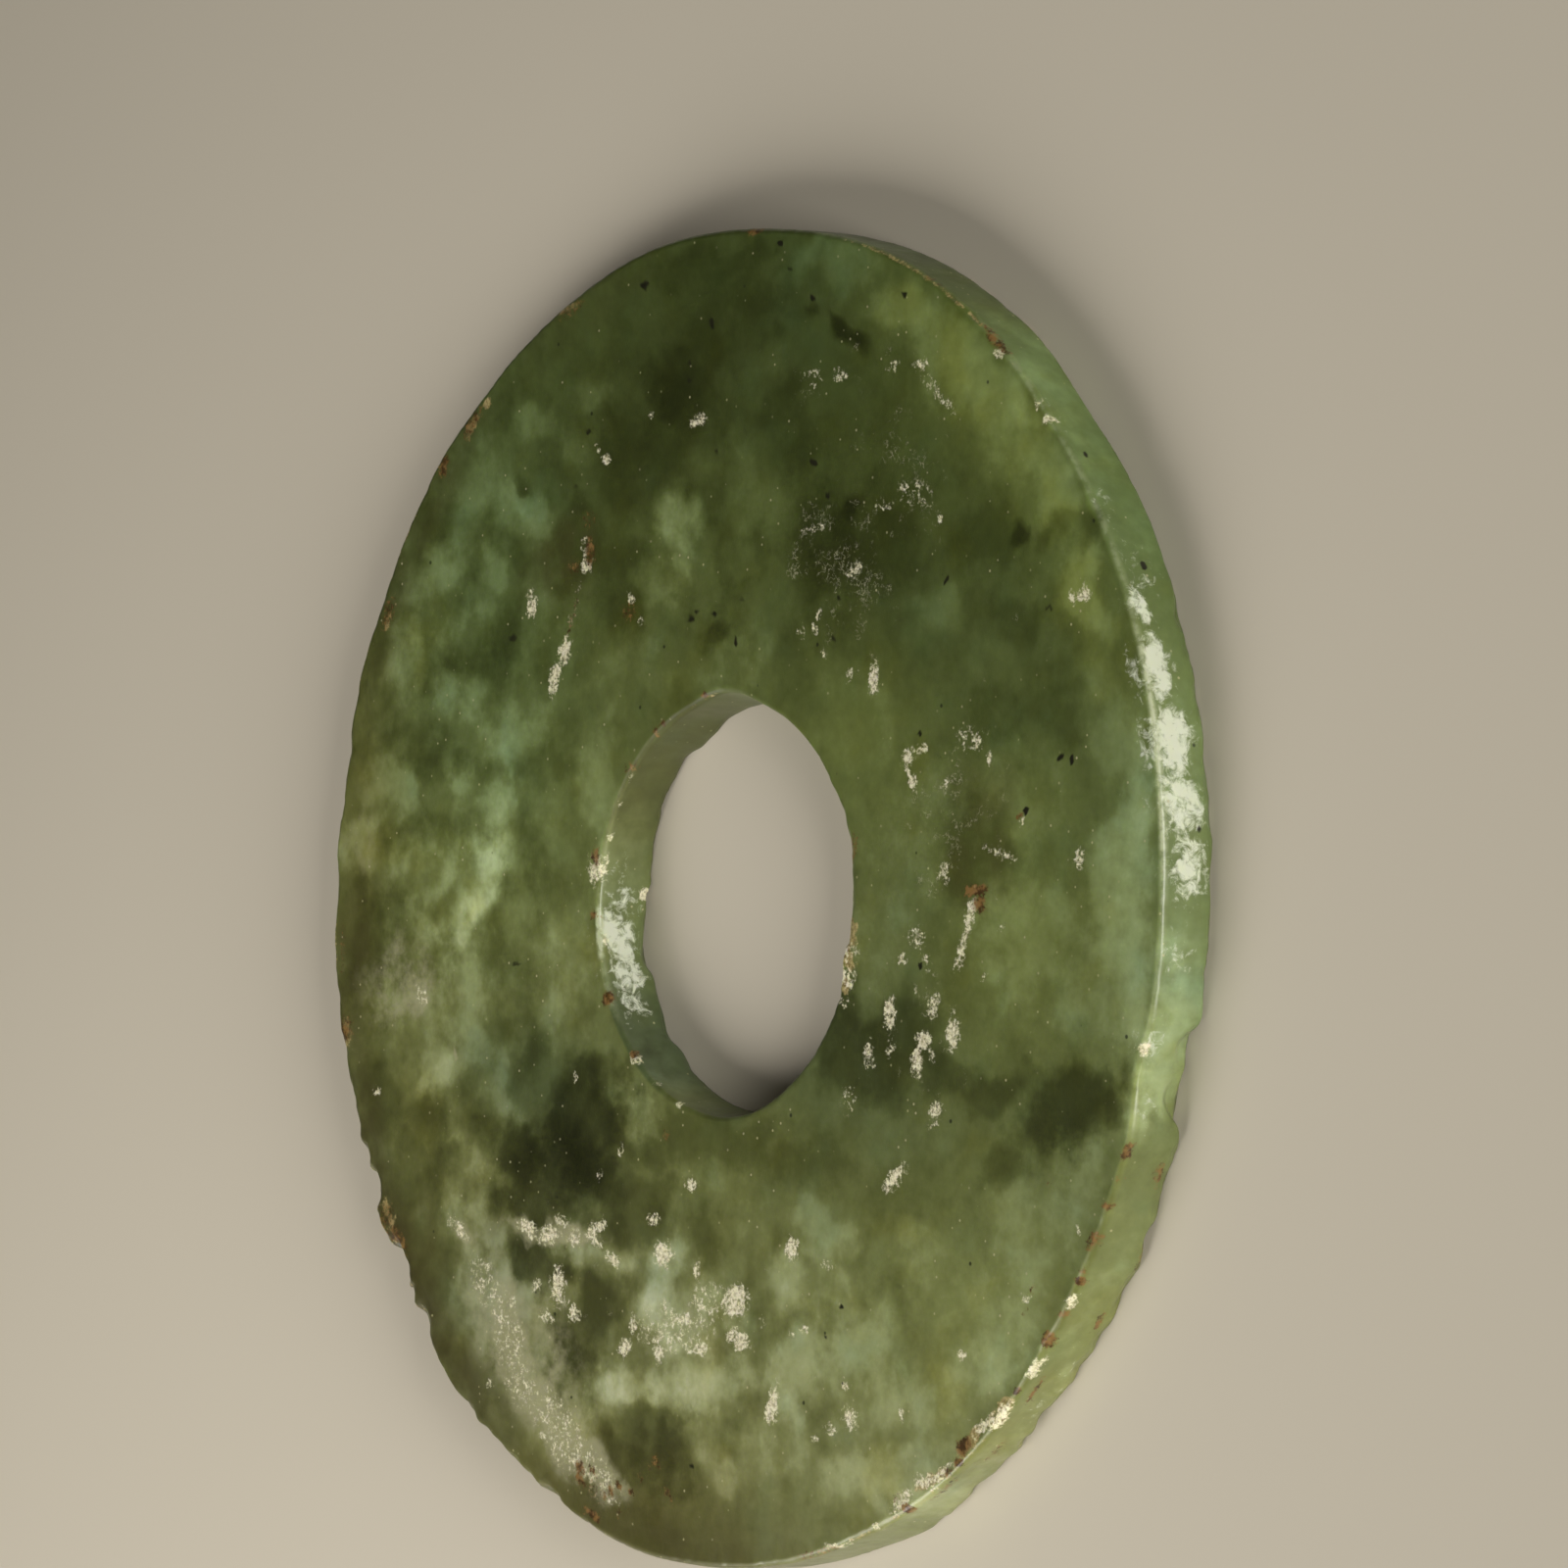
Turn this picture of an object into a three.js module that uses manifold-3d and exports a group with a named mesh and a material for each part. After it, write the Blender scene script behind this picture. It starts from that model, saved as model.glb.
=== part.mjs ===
// A jade bi: one flat ring of nephrite with a drilled hole, worn and chipped at its edges.
// Millimetres, +Z up. It lies on its plainer side, and the origin is the centre of its underside.
// Angles are in degrees, counter-clockwise seen from above, from +X.
import * as THREE from 'three';
import { mergeVertices } from 'three/addons/utils/BufferGeometryUtils.js';
import Module from 'manifold-3d';

// The ring
const TOP_DIAMETER = 110.3;
const UNDERSIDE_DIAMETER = 110.5;
const THICKNESS = 5.2;

// The hole, drilled from above, so it narrows a little downwards and sits a little off centre
const HOLE_TOP_DIAMETER = 34.1;
const HOLE_UNDERSIDE_DIAMETER = 33.6;
const HOLE_OFFSET_X = 0.5;
const HOLE_OFFSET_Y = -1.1;

// The wear that takes off each sharp edge
const RIM_TOP_WEAR = 0.3;
const RIM_UNDERSIDE_WEAR = 0.35;
const HOLE_TOP_WEAR = 0.25;
const HOLE_UNDERSIDE_WEAR = 0.2;

// How far the drill and its turned tool reach past both faces
const DRILL_OVERRUN = 2;

// Facets around the rim and the hole
const RIM_FACETS = 240;
const HOLE_FACETS = 96;

// The rim was ground by eye: each of these raises it (+) or leaves it low (-) by a depth,
// over a reach to each side of an angle
const TOP_RIM_FORM = [
  { at: 24, reach: 9, depth: 0.15 },
  { at: 86, reach: 22, depth: -0.55 },
  { at: 112, reach: 14, depth: -0.2 },
  { at: 145, reach: 14, depth: 0.4 },
  { at: 159, reach: 7, depth: 0.5 },
  { at: 167, reach: 3.5, depth: -0.6 },
  { at: 184.5, reach: 5, depth: 0.8 },
  { at: 196, reach: 10, depth: -0.25 },
  { at: 207.5, reach: 3.4, depth: -0.7 },
  { at: 215.6, reach: 3.4, depth: -0.9 },
  { at: 222, reach: 5, depth: -0.5 },
  { at: 257, reach: 12, depth: 0.3 },
  { at: 305, reach: 15, depth: 0.45 },
  { at: 345.5, reach: 5, depth: -0.75 },
];
const UNDERSIDE_RIM_FORM = [
  { at: 16, reach: 7, depth: 0.4 },
  { at: 28, reach: 7, depth: 0.3 },
  { at: 43, reach: 8, depth: -0.3 },
  { at: 53, reach: 6, depth: 0.2 },
  { at: 84, reach: 26, depth: -0.5 },
  { at: 160, reach: 12, depth: 0.35 },
  { at: 185, reach: 6, depth: 0.4 },
  { at: 207.5, reach: 4, depth: -0.7 },
  { at: 215.6, reach: 4, depth: -0.8 },
  { at: 257, reach: 14, depth: 0.3 },
  { at: 325, reach: 10, depth: 0.25 },
  { at: 345, reach: 5.5, depth: -1.1 },
];

// The hole is a little out of round too: + widens it
const TOP_HOLE_FORM = [
  { at: 20, reach: 16, depth: 0.4 },
  { at: 92, reach: 20, depth: 0.15 },
  { at: 195, reach: 14, depth: -0.25 },
  { at: 280, reach: 30, depth: 0.25 },
  { at: 343, reach: 11, depth: -0.6 },
];
const UNDERSIDE_HOLE_FORM = [
  { at: 137, reach: 8, depth: 0.2 },
  { at: 167, reach: 8, depth: -0.3 },
  { at: 193, reach: 9, depth: 0.4 },
  { at: 343, reach: 11, depth: -0.4 },
];

// Rows of small flakes broken from an edge. A flake is a shallow dish: long runs along the edge,
// deep goes into the wall of the rim or hole, and tall is how far it climbs that wall
const RIM = 'rim';
const HOLE = 'hole';
const FLAKE_ROWS = [
  { edge: RIM, top: false, from: 296, to: 341, count: 26, long: 1.9, deep: 0.7, tall: 1.1 },
  { edge: RIM, top: false, from: 352, to: 386, count: 15, long: 2, deep: 0.55, tall: 0.8 },
  { edge: RIM, top: true, from: 190, to: 247, count: 22, long: 2.3, deep: 0.6, tall: 1 },
  { edge: RIM, top: true, from: 28, to: 62, count: 9, long: 1.6, deep: 0.45, tall: 0.6 },
  { edge: HOLE, top: true, from: -27, to: 32, count: 12, long: 1.3, deep: 0.5, tall: 0.7 },
  { edge: HOLE, top: false, from: 125, to: 235, count: 20, long: 1.5, deep: 0.5, tall: 0.8 },
];
// Bigger losses, one by one
const FLAKES = [
  { edge: RIM, top: true, at: 207.4, long: 3.6, deep: 0.7, tall: 2.4 },
  { edge: RIM, top: true, at: 215.4, long: 3.2, deep: 0.7, tall: 2.2 },
  { edge: RIM, top: false, at: 343, long: 4.6, deep: 0.6, tall: 2.6 },
  { edge: RIM, top: false, at: 347.5, long: 3.8, deep: 0.7, tall: 2.2 },
  { edge: RIM, top: true, at: 320.6, long: 1.6, deep: 0.4, tall: 0.9 },
  { edge: RIM, top: true, at: 326.5, long: 1.3, deep: 0.3, tall: 0.7 },
  { edge: RIM, top: false, at: 158, long: 3, deep: 0.5, tall: 1.6 },
  { edge: RIM, top: false, at: 262, long: 2.6, deep: 0.4, tall: 1.4 },
  { edge: RIM, top: false, at: 84, long: 3.2, deep: 0.5, tall: 1.8 },
];
// How unlike each other the flakes of one row are, as shares of their half spacing and size
const FLAKE_STRAY = 0.7;
const FLAKE_SIZE_SPREAD = 0.45;
// Facets of a flake's dish
const FLAKE_SIDES = 8;
const FLAKE_RINGS = 4;

// A smooth mound, 1 at its middle and 0 from reach outwards
function mound(distance, reach) {
  const share = Math.min(Math.abs(distance) / reach, 1);
  return 0.5 + 0.5 * Math.cos(Math.PI * share);
}

// The shorter way round from one angle to another
function turnBetween(angle, other) {
  return THREE.MathUtils.euclideanModulo(angle - other + 180, 360) - 180;
}

function formDepth(form, angle) {
  let depth = 0;
  for (const swell of form) {
    depth += swell.depth * mound(turnBetween(angle, swell.at), swell.reach);
  }
  return depth;
}

// The radius of an edge at an angle, from its two named diameters and forms
function edgeRadius(edge, top, angle) {
  if (edge === RIM) {
    const diameter = top ? TOP_DIAMETER : UNDERSIDE_DIAMETER;
    return diameter / 2 + formDepth(top ? TOP_RIM_FORM : UNDERSIDE_RIM_FORM, angle);
  }
  const diameter = top ? HOLE_TOP_DIAMETER : HOLE_UNDERSIDE_DIAMETER;
  return diameter / 2 + formDepth(top ? TOP_HOLE_FORM : UNDERSIDE_HOLE_FORM, angle);
}

// A lathe's radii follow a form: each vertex moves out or in by the form's depth at its height
function followForm(geometry, topForm, undersideForm) {
  const place = geometry.attributes.position;
  for (let i = 0; i < place.count; i += 1) {
    const x = place.getX(i);
    const y = place.getY(i);
    const radius = Math.hypot(x, y);
    if (radius > 0) {
      const angle = THREE.MathUtils.radToDeg(Math.atan2(y, x));
      const height = THREE.MathUtils.clamp(place.getZ(i) / THICKNESS, 0, 1);
      const underside = formDepth(undersideForm, angle);
      const depth = THREE.MathUtils.lerp(underside, formDepth(topForm, angle), height);
      place.setXY(i, x * (1 + depth / radius), y * (1 + depth / radius));
    }
  }
}

// A profile of [radius, height] pairs that starts and ends on the axis, turned about Z
function turned(profile, facets) {
  const points = profile.map(([radius, height]) => new THREE.Vector2(radius, height));
  return new THREE.LatheGeometry(points, facets).rotateX(Math.PI / 2);
}

function blank() {
  const underside = UNDERSIDE_DIAMETER / 2;
  const top = TOP_DIAMETER / 2;
  const geometry = turned([
    [0, 0],
    [underside - RIM_UNDERSIDE_WEAR, 0],
    [underside, RIM_UNDERSIDE_WEAR],
    [top, THICKNESS - RIM_TOP_WEAR],
    [top - RIM_TOP_WEAR, THICKNESS],
    [0, THICKNESS],
  ], RIM_FACETS);
  followForm(geometry, TOP_RIM_FORM, UNDERSIDE_RIM_FORM);
  return geometry;
}

function drill() {
  const underside = HOLE_UNDERSIDE_DIAMETER / 2;
  const top = HOLE_TOP_DIAMETER / 2;
  const geometry = turned([
    [0, -DRILL_OVERRUN],
    [underside + HOLE_UNDERSIDE_WEAR + DRILL_OVERRUN, -DRILL_OVERRUN],
    [underside, HOLE_UNDERSIDE_WEAR],
    [top, THICKNESS - HOLE_TOP_WEAR],
    [top + HOLE_TOP_WEAR + DRILL_OVERRUN, THICKNESS + DRILL_OVERRUN],
    [0, THICKNESS + DRILL_OVERRUN],
  ], HOLE_FACETS);
  followForm(geometry, TOP_HOLE_FORM, UNDERSIDE_HOLE_FORM);
  return geometry.translate(HOLE_OFFSET_X, HOLE_OFFSET_Y, 0);
}

// The dish of one flake: a flattened ball whose middle is on the edge
function flakeTool({ edge, top, at, long, deep, tall }) {
  const geometry = new THREE.SphereGeometry(1, FLAKE_SIDES, FLAKE_RINGS);
  geometry.scale(deep, long / 2, tall);
  const turn = THREE.MathUtils.degToRad(at);
  const radius = edgeRadius(edge, top, at);
  geometry.translate(radius, 0, top ? THICKNESS : 0);
  geometry.rotateZ(turn);
  if (edge === HOLE) {
    geometry.translate(HOLE_OFFSET_X, HOLE_OFFSET_Y, 0);
  }
  return geometry;
}

// Repeatable numbers from 0 to 1
function* drawer(seed) {
  let state = seed;
  while (true) {
    state = (state * 16807) % 2147483647;
    yield state / 2147483647;
  }
}

// The flakes of a row, each a little astray and a little bigger or smaller than the last
function rowFlakes(row, seed) {
  const draw = drawer(seed);
  const spread = (share) => 1 + share * (2 * draw.next().value - 1);
  const step = (row.to - row.from) / row.count;
  const flakes = [];
  for (let i = 0; i < row.count; i += 1) {
    const size = spread(FLAKE_SIZE_SPREAD);
    flakes.push({
      edge: row.edge,
      top: row.top,
      at: row.from + step * (i + 0.5 * spread(FLAKE_STRAY)),
      long: row.long * size,
      deep: row.deep * size,
      tall: row.tall * spread(FLAKE_SIZE_SPREAD),
    });
  }
  return flakes;
}

const wasm = await Module();
wasm.setup();

function solid(geometry) {
  geometry.deleteAttribute('normal');
  geometry.deleteAttribute('uv');
  const merged = mergeVertices(geometry);
  return new wasm.Manifold(new wasm.Mesh({
    numProp: 3,
    vertProperties: new Float32Array(merged.attributes.position.array),
    triVerts: new Uint32Array(merged.index.array),
  }));
}

function geometryOf(manifold) {
  const mesh = manifold.getMesh();
  const geometry = new THREE.BufferGeometry();
  geometry.setAttribute('position', new THREE.BufferAttribute(mesh.vertProperties, 3));
  geometry.setIndex(new THREE.BufferAttribute(mesh.triVerts, 1));
  return geometry;
}

function ring() {
  let body = solid(blank()).subtract(solid(drill()));
  FLAKE_ROWS.forEach((row, index) => {
    for (const flake of rowFlakes(row, index + 1)) {
      body = body.subtract(solid(flakeTool(flake)));
    }
  });
  for (const flake of FLAKES) {
    body = body.subtract(solid(flakeTool(flake)));
  }
  return geometryOf(body);
}

// The worn outline is not quite even, so the ring is slid until its box is centred on the axis
const geometry = ring();
geometry.computeBoundingBox();
const middle = geometry.boundingBox.getCenter(new THREE.Vector3());
geometry.translate(-middle.x, -middle.y, 0);

const jade = new THREE.MeshStandardMaterial({ color: 0x66713f, roughness: 0.4, metalness: 0 });
const disc = new THREE.Mesh(geometry, jade);
disc.name = 'jade_disc';

const bi = new THREE.Group();
bi.add(disc);

export default bi;
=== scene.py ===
"""The looks of a jade bi disc: a weathered, satin-polished stone ring that lies on a plain pale floor.

The stone's surface is one mesh. It is drawn over the faceted solid by casting rays at it, smoothed, and
given its fine chips, hollows and pits. The colours are noise textures steered by the stone's own clouds,
crusts and stains, which are listed below as ellipses, measured from the disc's turning centre. Some of
the colour is painted light: highlights on the walls and arrises, a glow along the lit edge, a paler cast
towards -Y, and shade on parts of the face and of the hole's wall.
"""
import math

import bpy
import numpy as np
from mathutils import Matrix, Vector
from mathutils.bvhtree import BVHTree

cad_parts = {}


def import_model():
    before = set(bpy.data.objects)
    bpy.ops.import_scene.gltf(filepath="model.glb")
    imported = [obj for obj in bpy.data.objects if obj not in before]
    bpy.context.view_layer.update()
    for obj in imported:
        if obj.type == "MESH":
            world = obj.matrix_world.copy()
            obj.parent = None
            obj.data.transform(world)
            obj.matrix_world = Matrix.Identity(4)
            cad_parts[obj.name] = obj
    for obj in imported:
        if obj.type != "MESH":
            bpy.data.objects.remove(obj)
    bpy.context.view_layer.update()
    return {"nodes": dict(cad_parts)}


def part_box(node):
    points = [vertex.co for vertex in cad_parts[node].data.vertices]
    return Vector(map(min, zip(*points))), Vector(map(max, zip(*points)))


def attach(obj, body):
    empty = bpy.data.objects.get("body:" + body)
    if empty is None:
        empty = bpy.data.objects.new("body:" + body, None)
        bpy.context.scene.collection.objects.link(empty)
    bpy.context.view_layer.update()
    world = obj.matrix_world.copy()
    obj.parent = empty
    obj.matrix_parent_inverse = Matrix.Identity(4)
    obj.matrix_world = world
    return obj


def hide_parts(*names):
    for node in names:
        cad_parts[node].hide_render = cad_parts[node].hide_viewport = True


MM = 0.001
NODE = "jade_disc"

# The solid's own measures, in millimetres.
DISC_CENTRE = np.array([0.253, 0.215])
HOLE_CENTRE = DISC_CENTRE + np.array([0.5, -1.1])
HOLE_RADIUS = 16.9

# How the surface mesh is laid over the solid, in millimetres. Each edge has a core line inside the stone,
# and the edge's rings are where rays meet the solid on their way to that line. Inside its coarse radius a
# face has rings of HOLE_COUNT points, and outside it of FACE_COUNT.
PAST_RIM = 80.0
CAST_START = 8.0
RIM_COUNT = 1440
FACE_COUNT = 720
HOLE_COUNT = 360
RIM_CORE_INSET = 1.8
HOLE_CORE_INSET = 1.5
CORE_BLUR = 3.0
RIM_SMOOTHING = 0.55
HOLE_SMOOTHING = 0.6
ARRIS_REACH = (0.1, 0.5)
TOP_ROW_STEP = 0.5
TOP_COARSE_RADIUS = 27.0
UNDERSIDE_ROW_STEP = 1.6
UNDERSIDE_COARSE_RADIUS = 51.0
WALL_STEPS = (0.0, 0.06, 0.13, 0.21, 0.3, 0.4, 0.5, 0.6, 0.7, 0.79, 0.87, 0.94, 1.0)
RIM_TOP_STEPS = (0.0, 0.28, 0.5, 0.67, 0.8, 0.9, 0.97)
RIM_UNDERSIDE_STEPS = (0.97, 0.88, 0.72, 0.45, 0.0)
HOLE_TOP_STEPS = (0.0, 0.36, 0.62, 0.8, 0.9, 0.97)
HOLE_UNDERSIDE_STEPS = (0.97, 0.85, 0.5, 0.0)

# The surface's relief: lattice size and depth in millimetres, and the noise's seed.
HOLLOWS = ((15.0, 0.035, 11), (5.0, 0.014, 12))
EDGE_GRAIN = ((1.6, 0.05, 31), (0.6, 0.035, 32))
GRAIN_CUT = (-0.1, 0.7)
CRUST_PITS = (0.7, 0.09, 41)
PIT_CUT = (-0.2, 0.5)
PITTED_CRUST = (0.2, 0.8)

# Small chips along the arrises: from and to in degrees, how many, how far the chip's ball reaches in mm.
CHIP_ROWS = {
    "rim_top": (
        (28, 70, 30, 0.2), (-58, -12, 40, 0.26), (95, 150, 30, 0.2), (150, 250, 110, 0.24),
        (250, 300, 30, 0.22),
    ),
    "rim_underside": (
        (270, 345, 90, 0.26), (345, 430, 90, 0.24), (70, 250, 70, 0.25),
    ),
    "hole_top": (
        (-50, 50, 44, 0.16), (60, 250, 40, 0.16),
    ),
    "hole_underside": (
        (110, 250, 60, 0.2), (-100, 100, 30, 0.2),
    ),
}
CHIP_SEED = 71
CHIP_SPREAD = 0.5
CHIP_RADIUS = (1.6, 2.6)
CHIP_LEAN = (25, 70)
CHIP_BITE = 0.55

# Slow swells of the edges: degrees, half range, how far the edge draws in (or out, below zero) in mm.
EDGE_SWELLS = {
    "rim_top": (
        (136, 5, -0.3), (160, 9, -0.15), (166.5, 3, -0.5), (175, 2.5, -0.35), (184.5, 4, 0.3),
        (187.5, 1.5, -0.25), (192, 2, -0.2), (194, 5, -0.35), (199, 2, -0.55), (201, 2, 0.25),
        (204.3, 1.2, 0.75), (205.5, 4, -0.7), (207, 1.5, -0.5), (209, 1, -0.5), (212.5, 3, -0.6),
        (216, 1.8, -0.5), (218.5, 3.5, -0.7), (219, 0.9, 0.9), (222.6, 1.2, -0.7), (227, 5, -0.5),
        (233.5, 3.5, -0.5), (243, 3, -0.25), (255, 6, 0.15),
    ),
    "rim_underside": (
        (-64, 6, -0.4), (-51, 2.5, -0.35), (-40, 6, -0.35), (-29, 4, -0.7), (-18, 4, -0.75), (-12, 3, -0.5),
        (-5, 1.2, -0.4), (5, 6, -0.3), (23.5, 3, -0.3), (33, 3, -0.2), (38, 6, -0.1),
    ),
    "hole_top": (
        (8, 26, -0.45), (-10, 6, -0.25), (90, 12, 0.4),
    ),
    "hole_underside": (
        (122, 8, -0.35), (176, 6, -0.45), (205, 12, -0.3), (226, 7, -0.4),
    ),
}
SWELL_FADE = (0.3, 1.4)
SWELL_REACH = (0.6, 1.8)

# The lists of marks are grouped by strength. A mark is x, y, half length, half width and tilt: millimetres
# from the disc's turning centre, and the length's turn from +X in degrees. A width left out equals the
# length, and a tilt left out is 0.

# Clouds in the stone. The pale clouds along the right edge, at x 50 to 53, are a painted glow where light
# comes in through the lit rim.
PALE_CLOUDS = {
    1.3: ((-35, -1.5, 5, 1.8, 38), (12.3, -37.5, 2, 2.6, 20)),
    1.1: ((-32.5, 2.5, 4, 2.6, 60),),
    1: ((37.3, 38.3, 1.8, 1, -30),),
    0.75: ((-6.5, 31.3, 2.8, 1.8), (-7, -32.5, 3.5, 2, 40)),
    0.6: ((-37, -14.8, 4.5, 2.4, 35), (-52, 4, 3, 4), (-5.8, 27, 1.1, 2), (-16, -30.8, 6, 1.6),
        (-3, -35, 5, 3), (-10, -40.5, 7, 1.6), (37, -37, 5, 2.5, 40), (26, -46, 5, 2.5, 22),
        (50, -2, 3, 10), (52, 5, 1.8, 5), (51.5, 11, 1.8, 4, 10), (40, 34.5, 3.5, 1.8, -50),
        (33, 41, 4, 2.5, -42), (53, -15, 2, 2.5)),
    0.55: ((-29, 32.5, 5, 2, -22), (11.5, -39, 4)),
    0.5: ((-30, 7.5, 3.5, 2.5, 70), (52, -10, 2, 4), (-45, 21, 2.5, 5, 10), (-27, 40.5, 3, 1.6),
        (-32, -33, 5), (0, -40.5, 6, 2.5), (15, -28, 3.8, 3, -40), (10, -32, 4, 3), (52, -6, 1.8, 8)),
    0.45: ((-10, -18, 3, 2), (-41, -12, 4, 3), (-41, 2.5, 6, 3.5), (-17.5, 42, 2.6, 1.8),
        (-19, -44, 5, 3, -50), (18, -46.5, 5, 2.5)),
    0.4: ((-21, -6, 4, 6), (-17, 7, 3, 8), (-36, -9, 3.5, 5, 12), (-45, -6, 4), (-34, 13, 5, 2, -20),
        (-41, 27, 5, 2.5, 10), (-35, 36, 4, 3), (-8.5, 25.5, 3.5, 3), (40, -3, 7, 6), (-25, -36, 4, 3, -60),
        (46, -23, 3, 4)),
    0.35: ((-33, -25, 2.5, 4), (-39, 10, 4, 2.5), (-38, 23, 5, 2.5), (-28, 16, 4, 3, 30),
        (-21, 38, 3, 2, -20), (28, 22, 3, 2), (48, 14, 3, 7, 20), (-36, -22, 2, 6), (15, -32, 4, 2),
        (38, -32, 4), (20, -38, 7, 5), (2.5, -47, 3.5, 1.8, -20), (30, -40, 7, 4, 35)),
    0.3: ((0, 18.5, 8, 2.5), (-42, -3, 3, 2), (-47, 9, 5, 2.5, -15), (-37, 16, 4, 2.5),
        (-31, 27, 6, 2, -20), (2, 27, 3, 2), (37, 7, 6, 4), (40, -27, 5), (47, -8, 4), (26, -27, 3, 2)),
    0.25: ((21, -3, 5, 4), (-33.8, -9.5, 1.2, 4, 12), (-16, 17, 5, 2, 20), (17, 14, 6, 4, -40), (25, 5, 6),
        (10, -44.5, 5, 2, -15)),
    0.2: ((-7, 19, 5, 2), (4, 34, 5, 4), (3, 44, 4, 3), (3, -26, 4, 2.4), (-3, -24, 3, 2), (30, -30, 6, 4)),
}
BLUISH_CLOUDS = {
    0.6: ((12, -36.5, 2.2, 2.2, 60),),
    0.4: ((-7, -31, 3, 2), (13, 51, 6, 2), (17, 51.5, 3, 1)),
    0.3: ((14, -27, 3, 2), (-24, -17, 8, 3.5, -10), (40, 45, 6, 2, -45)),
}
YELLOW_CLOUDS = {
    0.6: ((23, 46.5, 5, 2.5, -20), (46, 23.5, 4, 2.6, -62)),
    0.5: ((29, 42.5, 6, 4, -40), (42, 30.5, 5, 2.4, -58)),
    0.32: ((36, 37, 6, 4, -48),),
    0.3: ((49, 14, 2, 5, 20), (-35, 0, 5, 3, 40), (30, -42, 8, 2, 35)),
}
CREAM_CLOUDS = {
    0.9: ((-27, -37.5, 5.5, 2.8, -65), (-21, -28.5, 7, 1.1)),
    0.8: ((-23.5, -42.5, 5, 3, -48), (-18.5, -46.8, 5.5, 2.6, -35), (-14.5, -49.5, 4, 1.8, -25)),
    0.6: ((-36, -13.2, 1.2, 0.6, -50),),
    0.55: ((-42, -8.5, 1.4, 2.4, 20),),
    0.5: ((-45, -8, 6, 4.5), (-34.5, -29.3, 3, 0.9, -25)),
    0.45: ((-23, -40, 8, 6, -45),),
    0.4: ((-31, -35, 4, 6, 20),),
    0.3: ((-51.5, 5, 3, 5), (-3, -36, 8, 2.5)),
}
DARK_CLOUDS = {
    1.25: ((-20, -21.5, 8.5, 5, 20),),
    1.2: ((37.9, 28.4, 1, 0.8),),
    1: ((-17, -17, 3, 3.2), (-26, -22.5, 4.5, 3)),
    0.95: ((-24, -31.2, 4.5, 2.2),),
    0.9: ((44.5, -16.3, 6.2, 2.7, 3), (15.1, 45.4, 2, 1, -28)),
    0.8: ((16.5, 30.6, 1.5, 0.7, 20), (55.3, -17, 2.6, 1.2, 40)),
    0.75: ((20, -13, 6.5, 3, -15), (16.5, -11.5, 3.2, 3.5)),
    0.7: ((-25, -25.5, 6, 2.2), (25, -11.5, 4, 3)),
    0.65: ((-18.5, -39.5, 3, 3.6, 20), (-9, -45.5, 6, 3)),
    0.6: ((-37.5, -24, 2.6), (-15, -34, 3.2, 3), (-10, -26, 5, 3), (35, -15.5, 4.5, 1.6, 8),
        (29.5, -14, 3, 2), (-7, 42.5, 4, 3.5), (10, 46.6, 1, 0.7), (-1.5, 20.5, 2, 1, 20)),
    0.55: ((-47, -18, 4, 2.4, -40), (14, 27.5, 4.5, 3.5)),
    0.5: ((-43, -23.5, 3, 2.4), (-42, -31, 2, 4, 40), (-24, -16, 4, 2.5, 20), (37.5, -21.3, 3, 1.5, 20),
        (-28.5, 35, 1.2, 0.6)),
    0.45: ((-33, -20, 3.5, 2), (-51, -5, 2.6, 5), (3, -20, 5, 1.6)),
    0.4: ((-45.5, -4, 4, 3), (-38, -31.5, 3), (43, 27.5, 3.2, 1.2), (-21, 29, 4), (32, 3, 5, 4)),
    0.35: ((-3, -21, 8, 2.5), (-38, -19, 5, 2), (-41, -25, 6, 3), (-12, 36, 5, 4), (-13, 26, 5, 4)),
    0.3: ((12, -22, 5, 2), (1, 47.5, 6, 3.5), (-3, 52, 8, 1.6), (21, 27, 4, 3), (8, 37, 5, 4),
        (38, 21, 3, 2), (-34, 21, 5, 1.6, 10), (-40, 11.5, 4, 1.5)),
    0.25: ((-1, -29, 4, 2), (33, 28, 4, 2.5), (43, 14, 4, 2.5), (35, 13, 4, 2.5)),
    0.2: ((24, -31.5, 2.5, 1.8), (-44, 34, 2, 3, 30)),
}
BROWN_CLOUDS = {
    0.7: ((-42, -31, 3, 4),),
    0.5: ((-23, 28, 5, 4),),
    0.4: ((-52, -3, 3, 4), (-19.5, 29, 2), (33, 2, 4, 3), (-29, -29, 2.5, 1.2), (-20, -28, 2, 1)),
    0.35: ((33, 7, 5, 3),),
}
# Where the stone is cloudier than elsewhere.
MOTTLED_ZONES = {
    0.75: ((-36, 10, 17, 34),),
    0.6: ((-10, -38, 34, 12), (-30, -20, 18, 16)),
    0.4: ((0, 28, 16, 12),),
}
PLAIN_MOTTLE = 0.35
WALL_MOTTLE = 0.4
# Where the surface is scored with fine pale scratches and pits.
SCORED_ZONES = {
    1: ((16, 26, 9, 8),),
    0.8: ((22, 33, 8, 7), (30, 5, 7, 9)),
    0.7: ((27, -10, 8, 7),),
    0.6: ((-18, -31, 8, 6),),
    0.5: ((14, 41, 12, 6),),
    0.4: ((36, 18, 8, 10), (0, -34, 20, 10), (24, -42, 16, 7)),
    0.3: ((-2, 48, 10, 6),),
}
# How the colour changes across the disc: the natural logarithm's change for each mm of X and of Y.
# The paler trend is partly the stone's tone and partly painted light: paler towards -Y, where more light
# falls.
PALER_AND_LIT_TREND = (-0.001, -0.0080)
WARMER_TREND = (-0.0011, -0.0024)
BLUER_TREND = (0.0, -0.0040)
WALL_WARMER = -0.03
WALL_BLUER = 0.08
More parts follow.
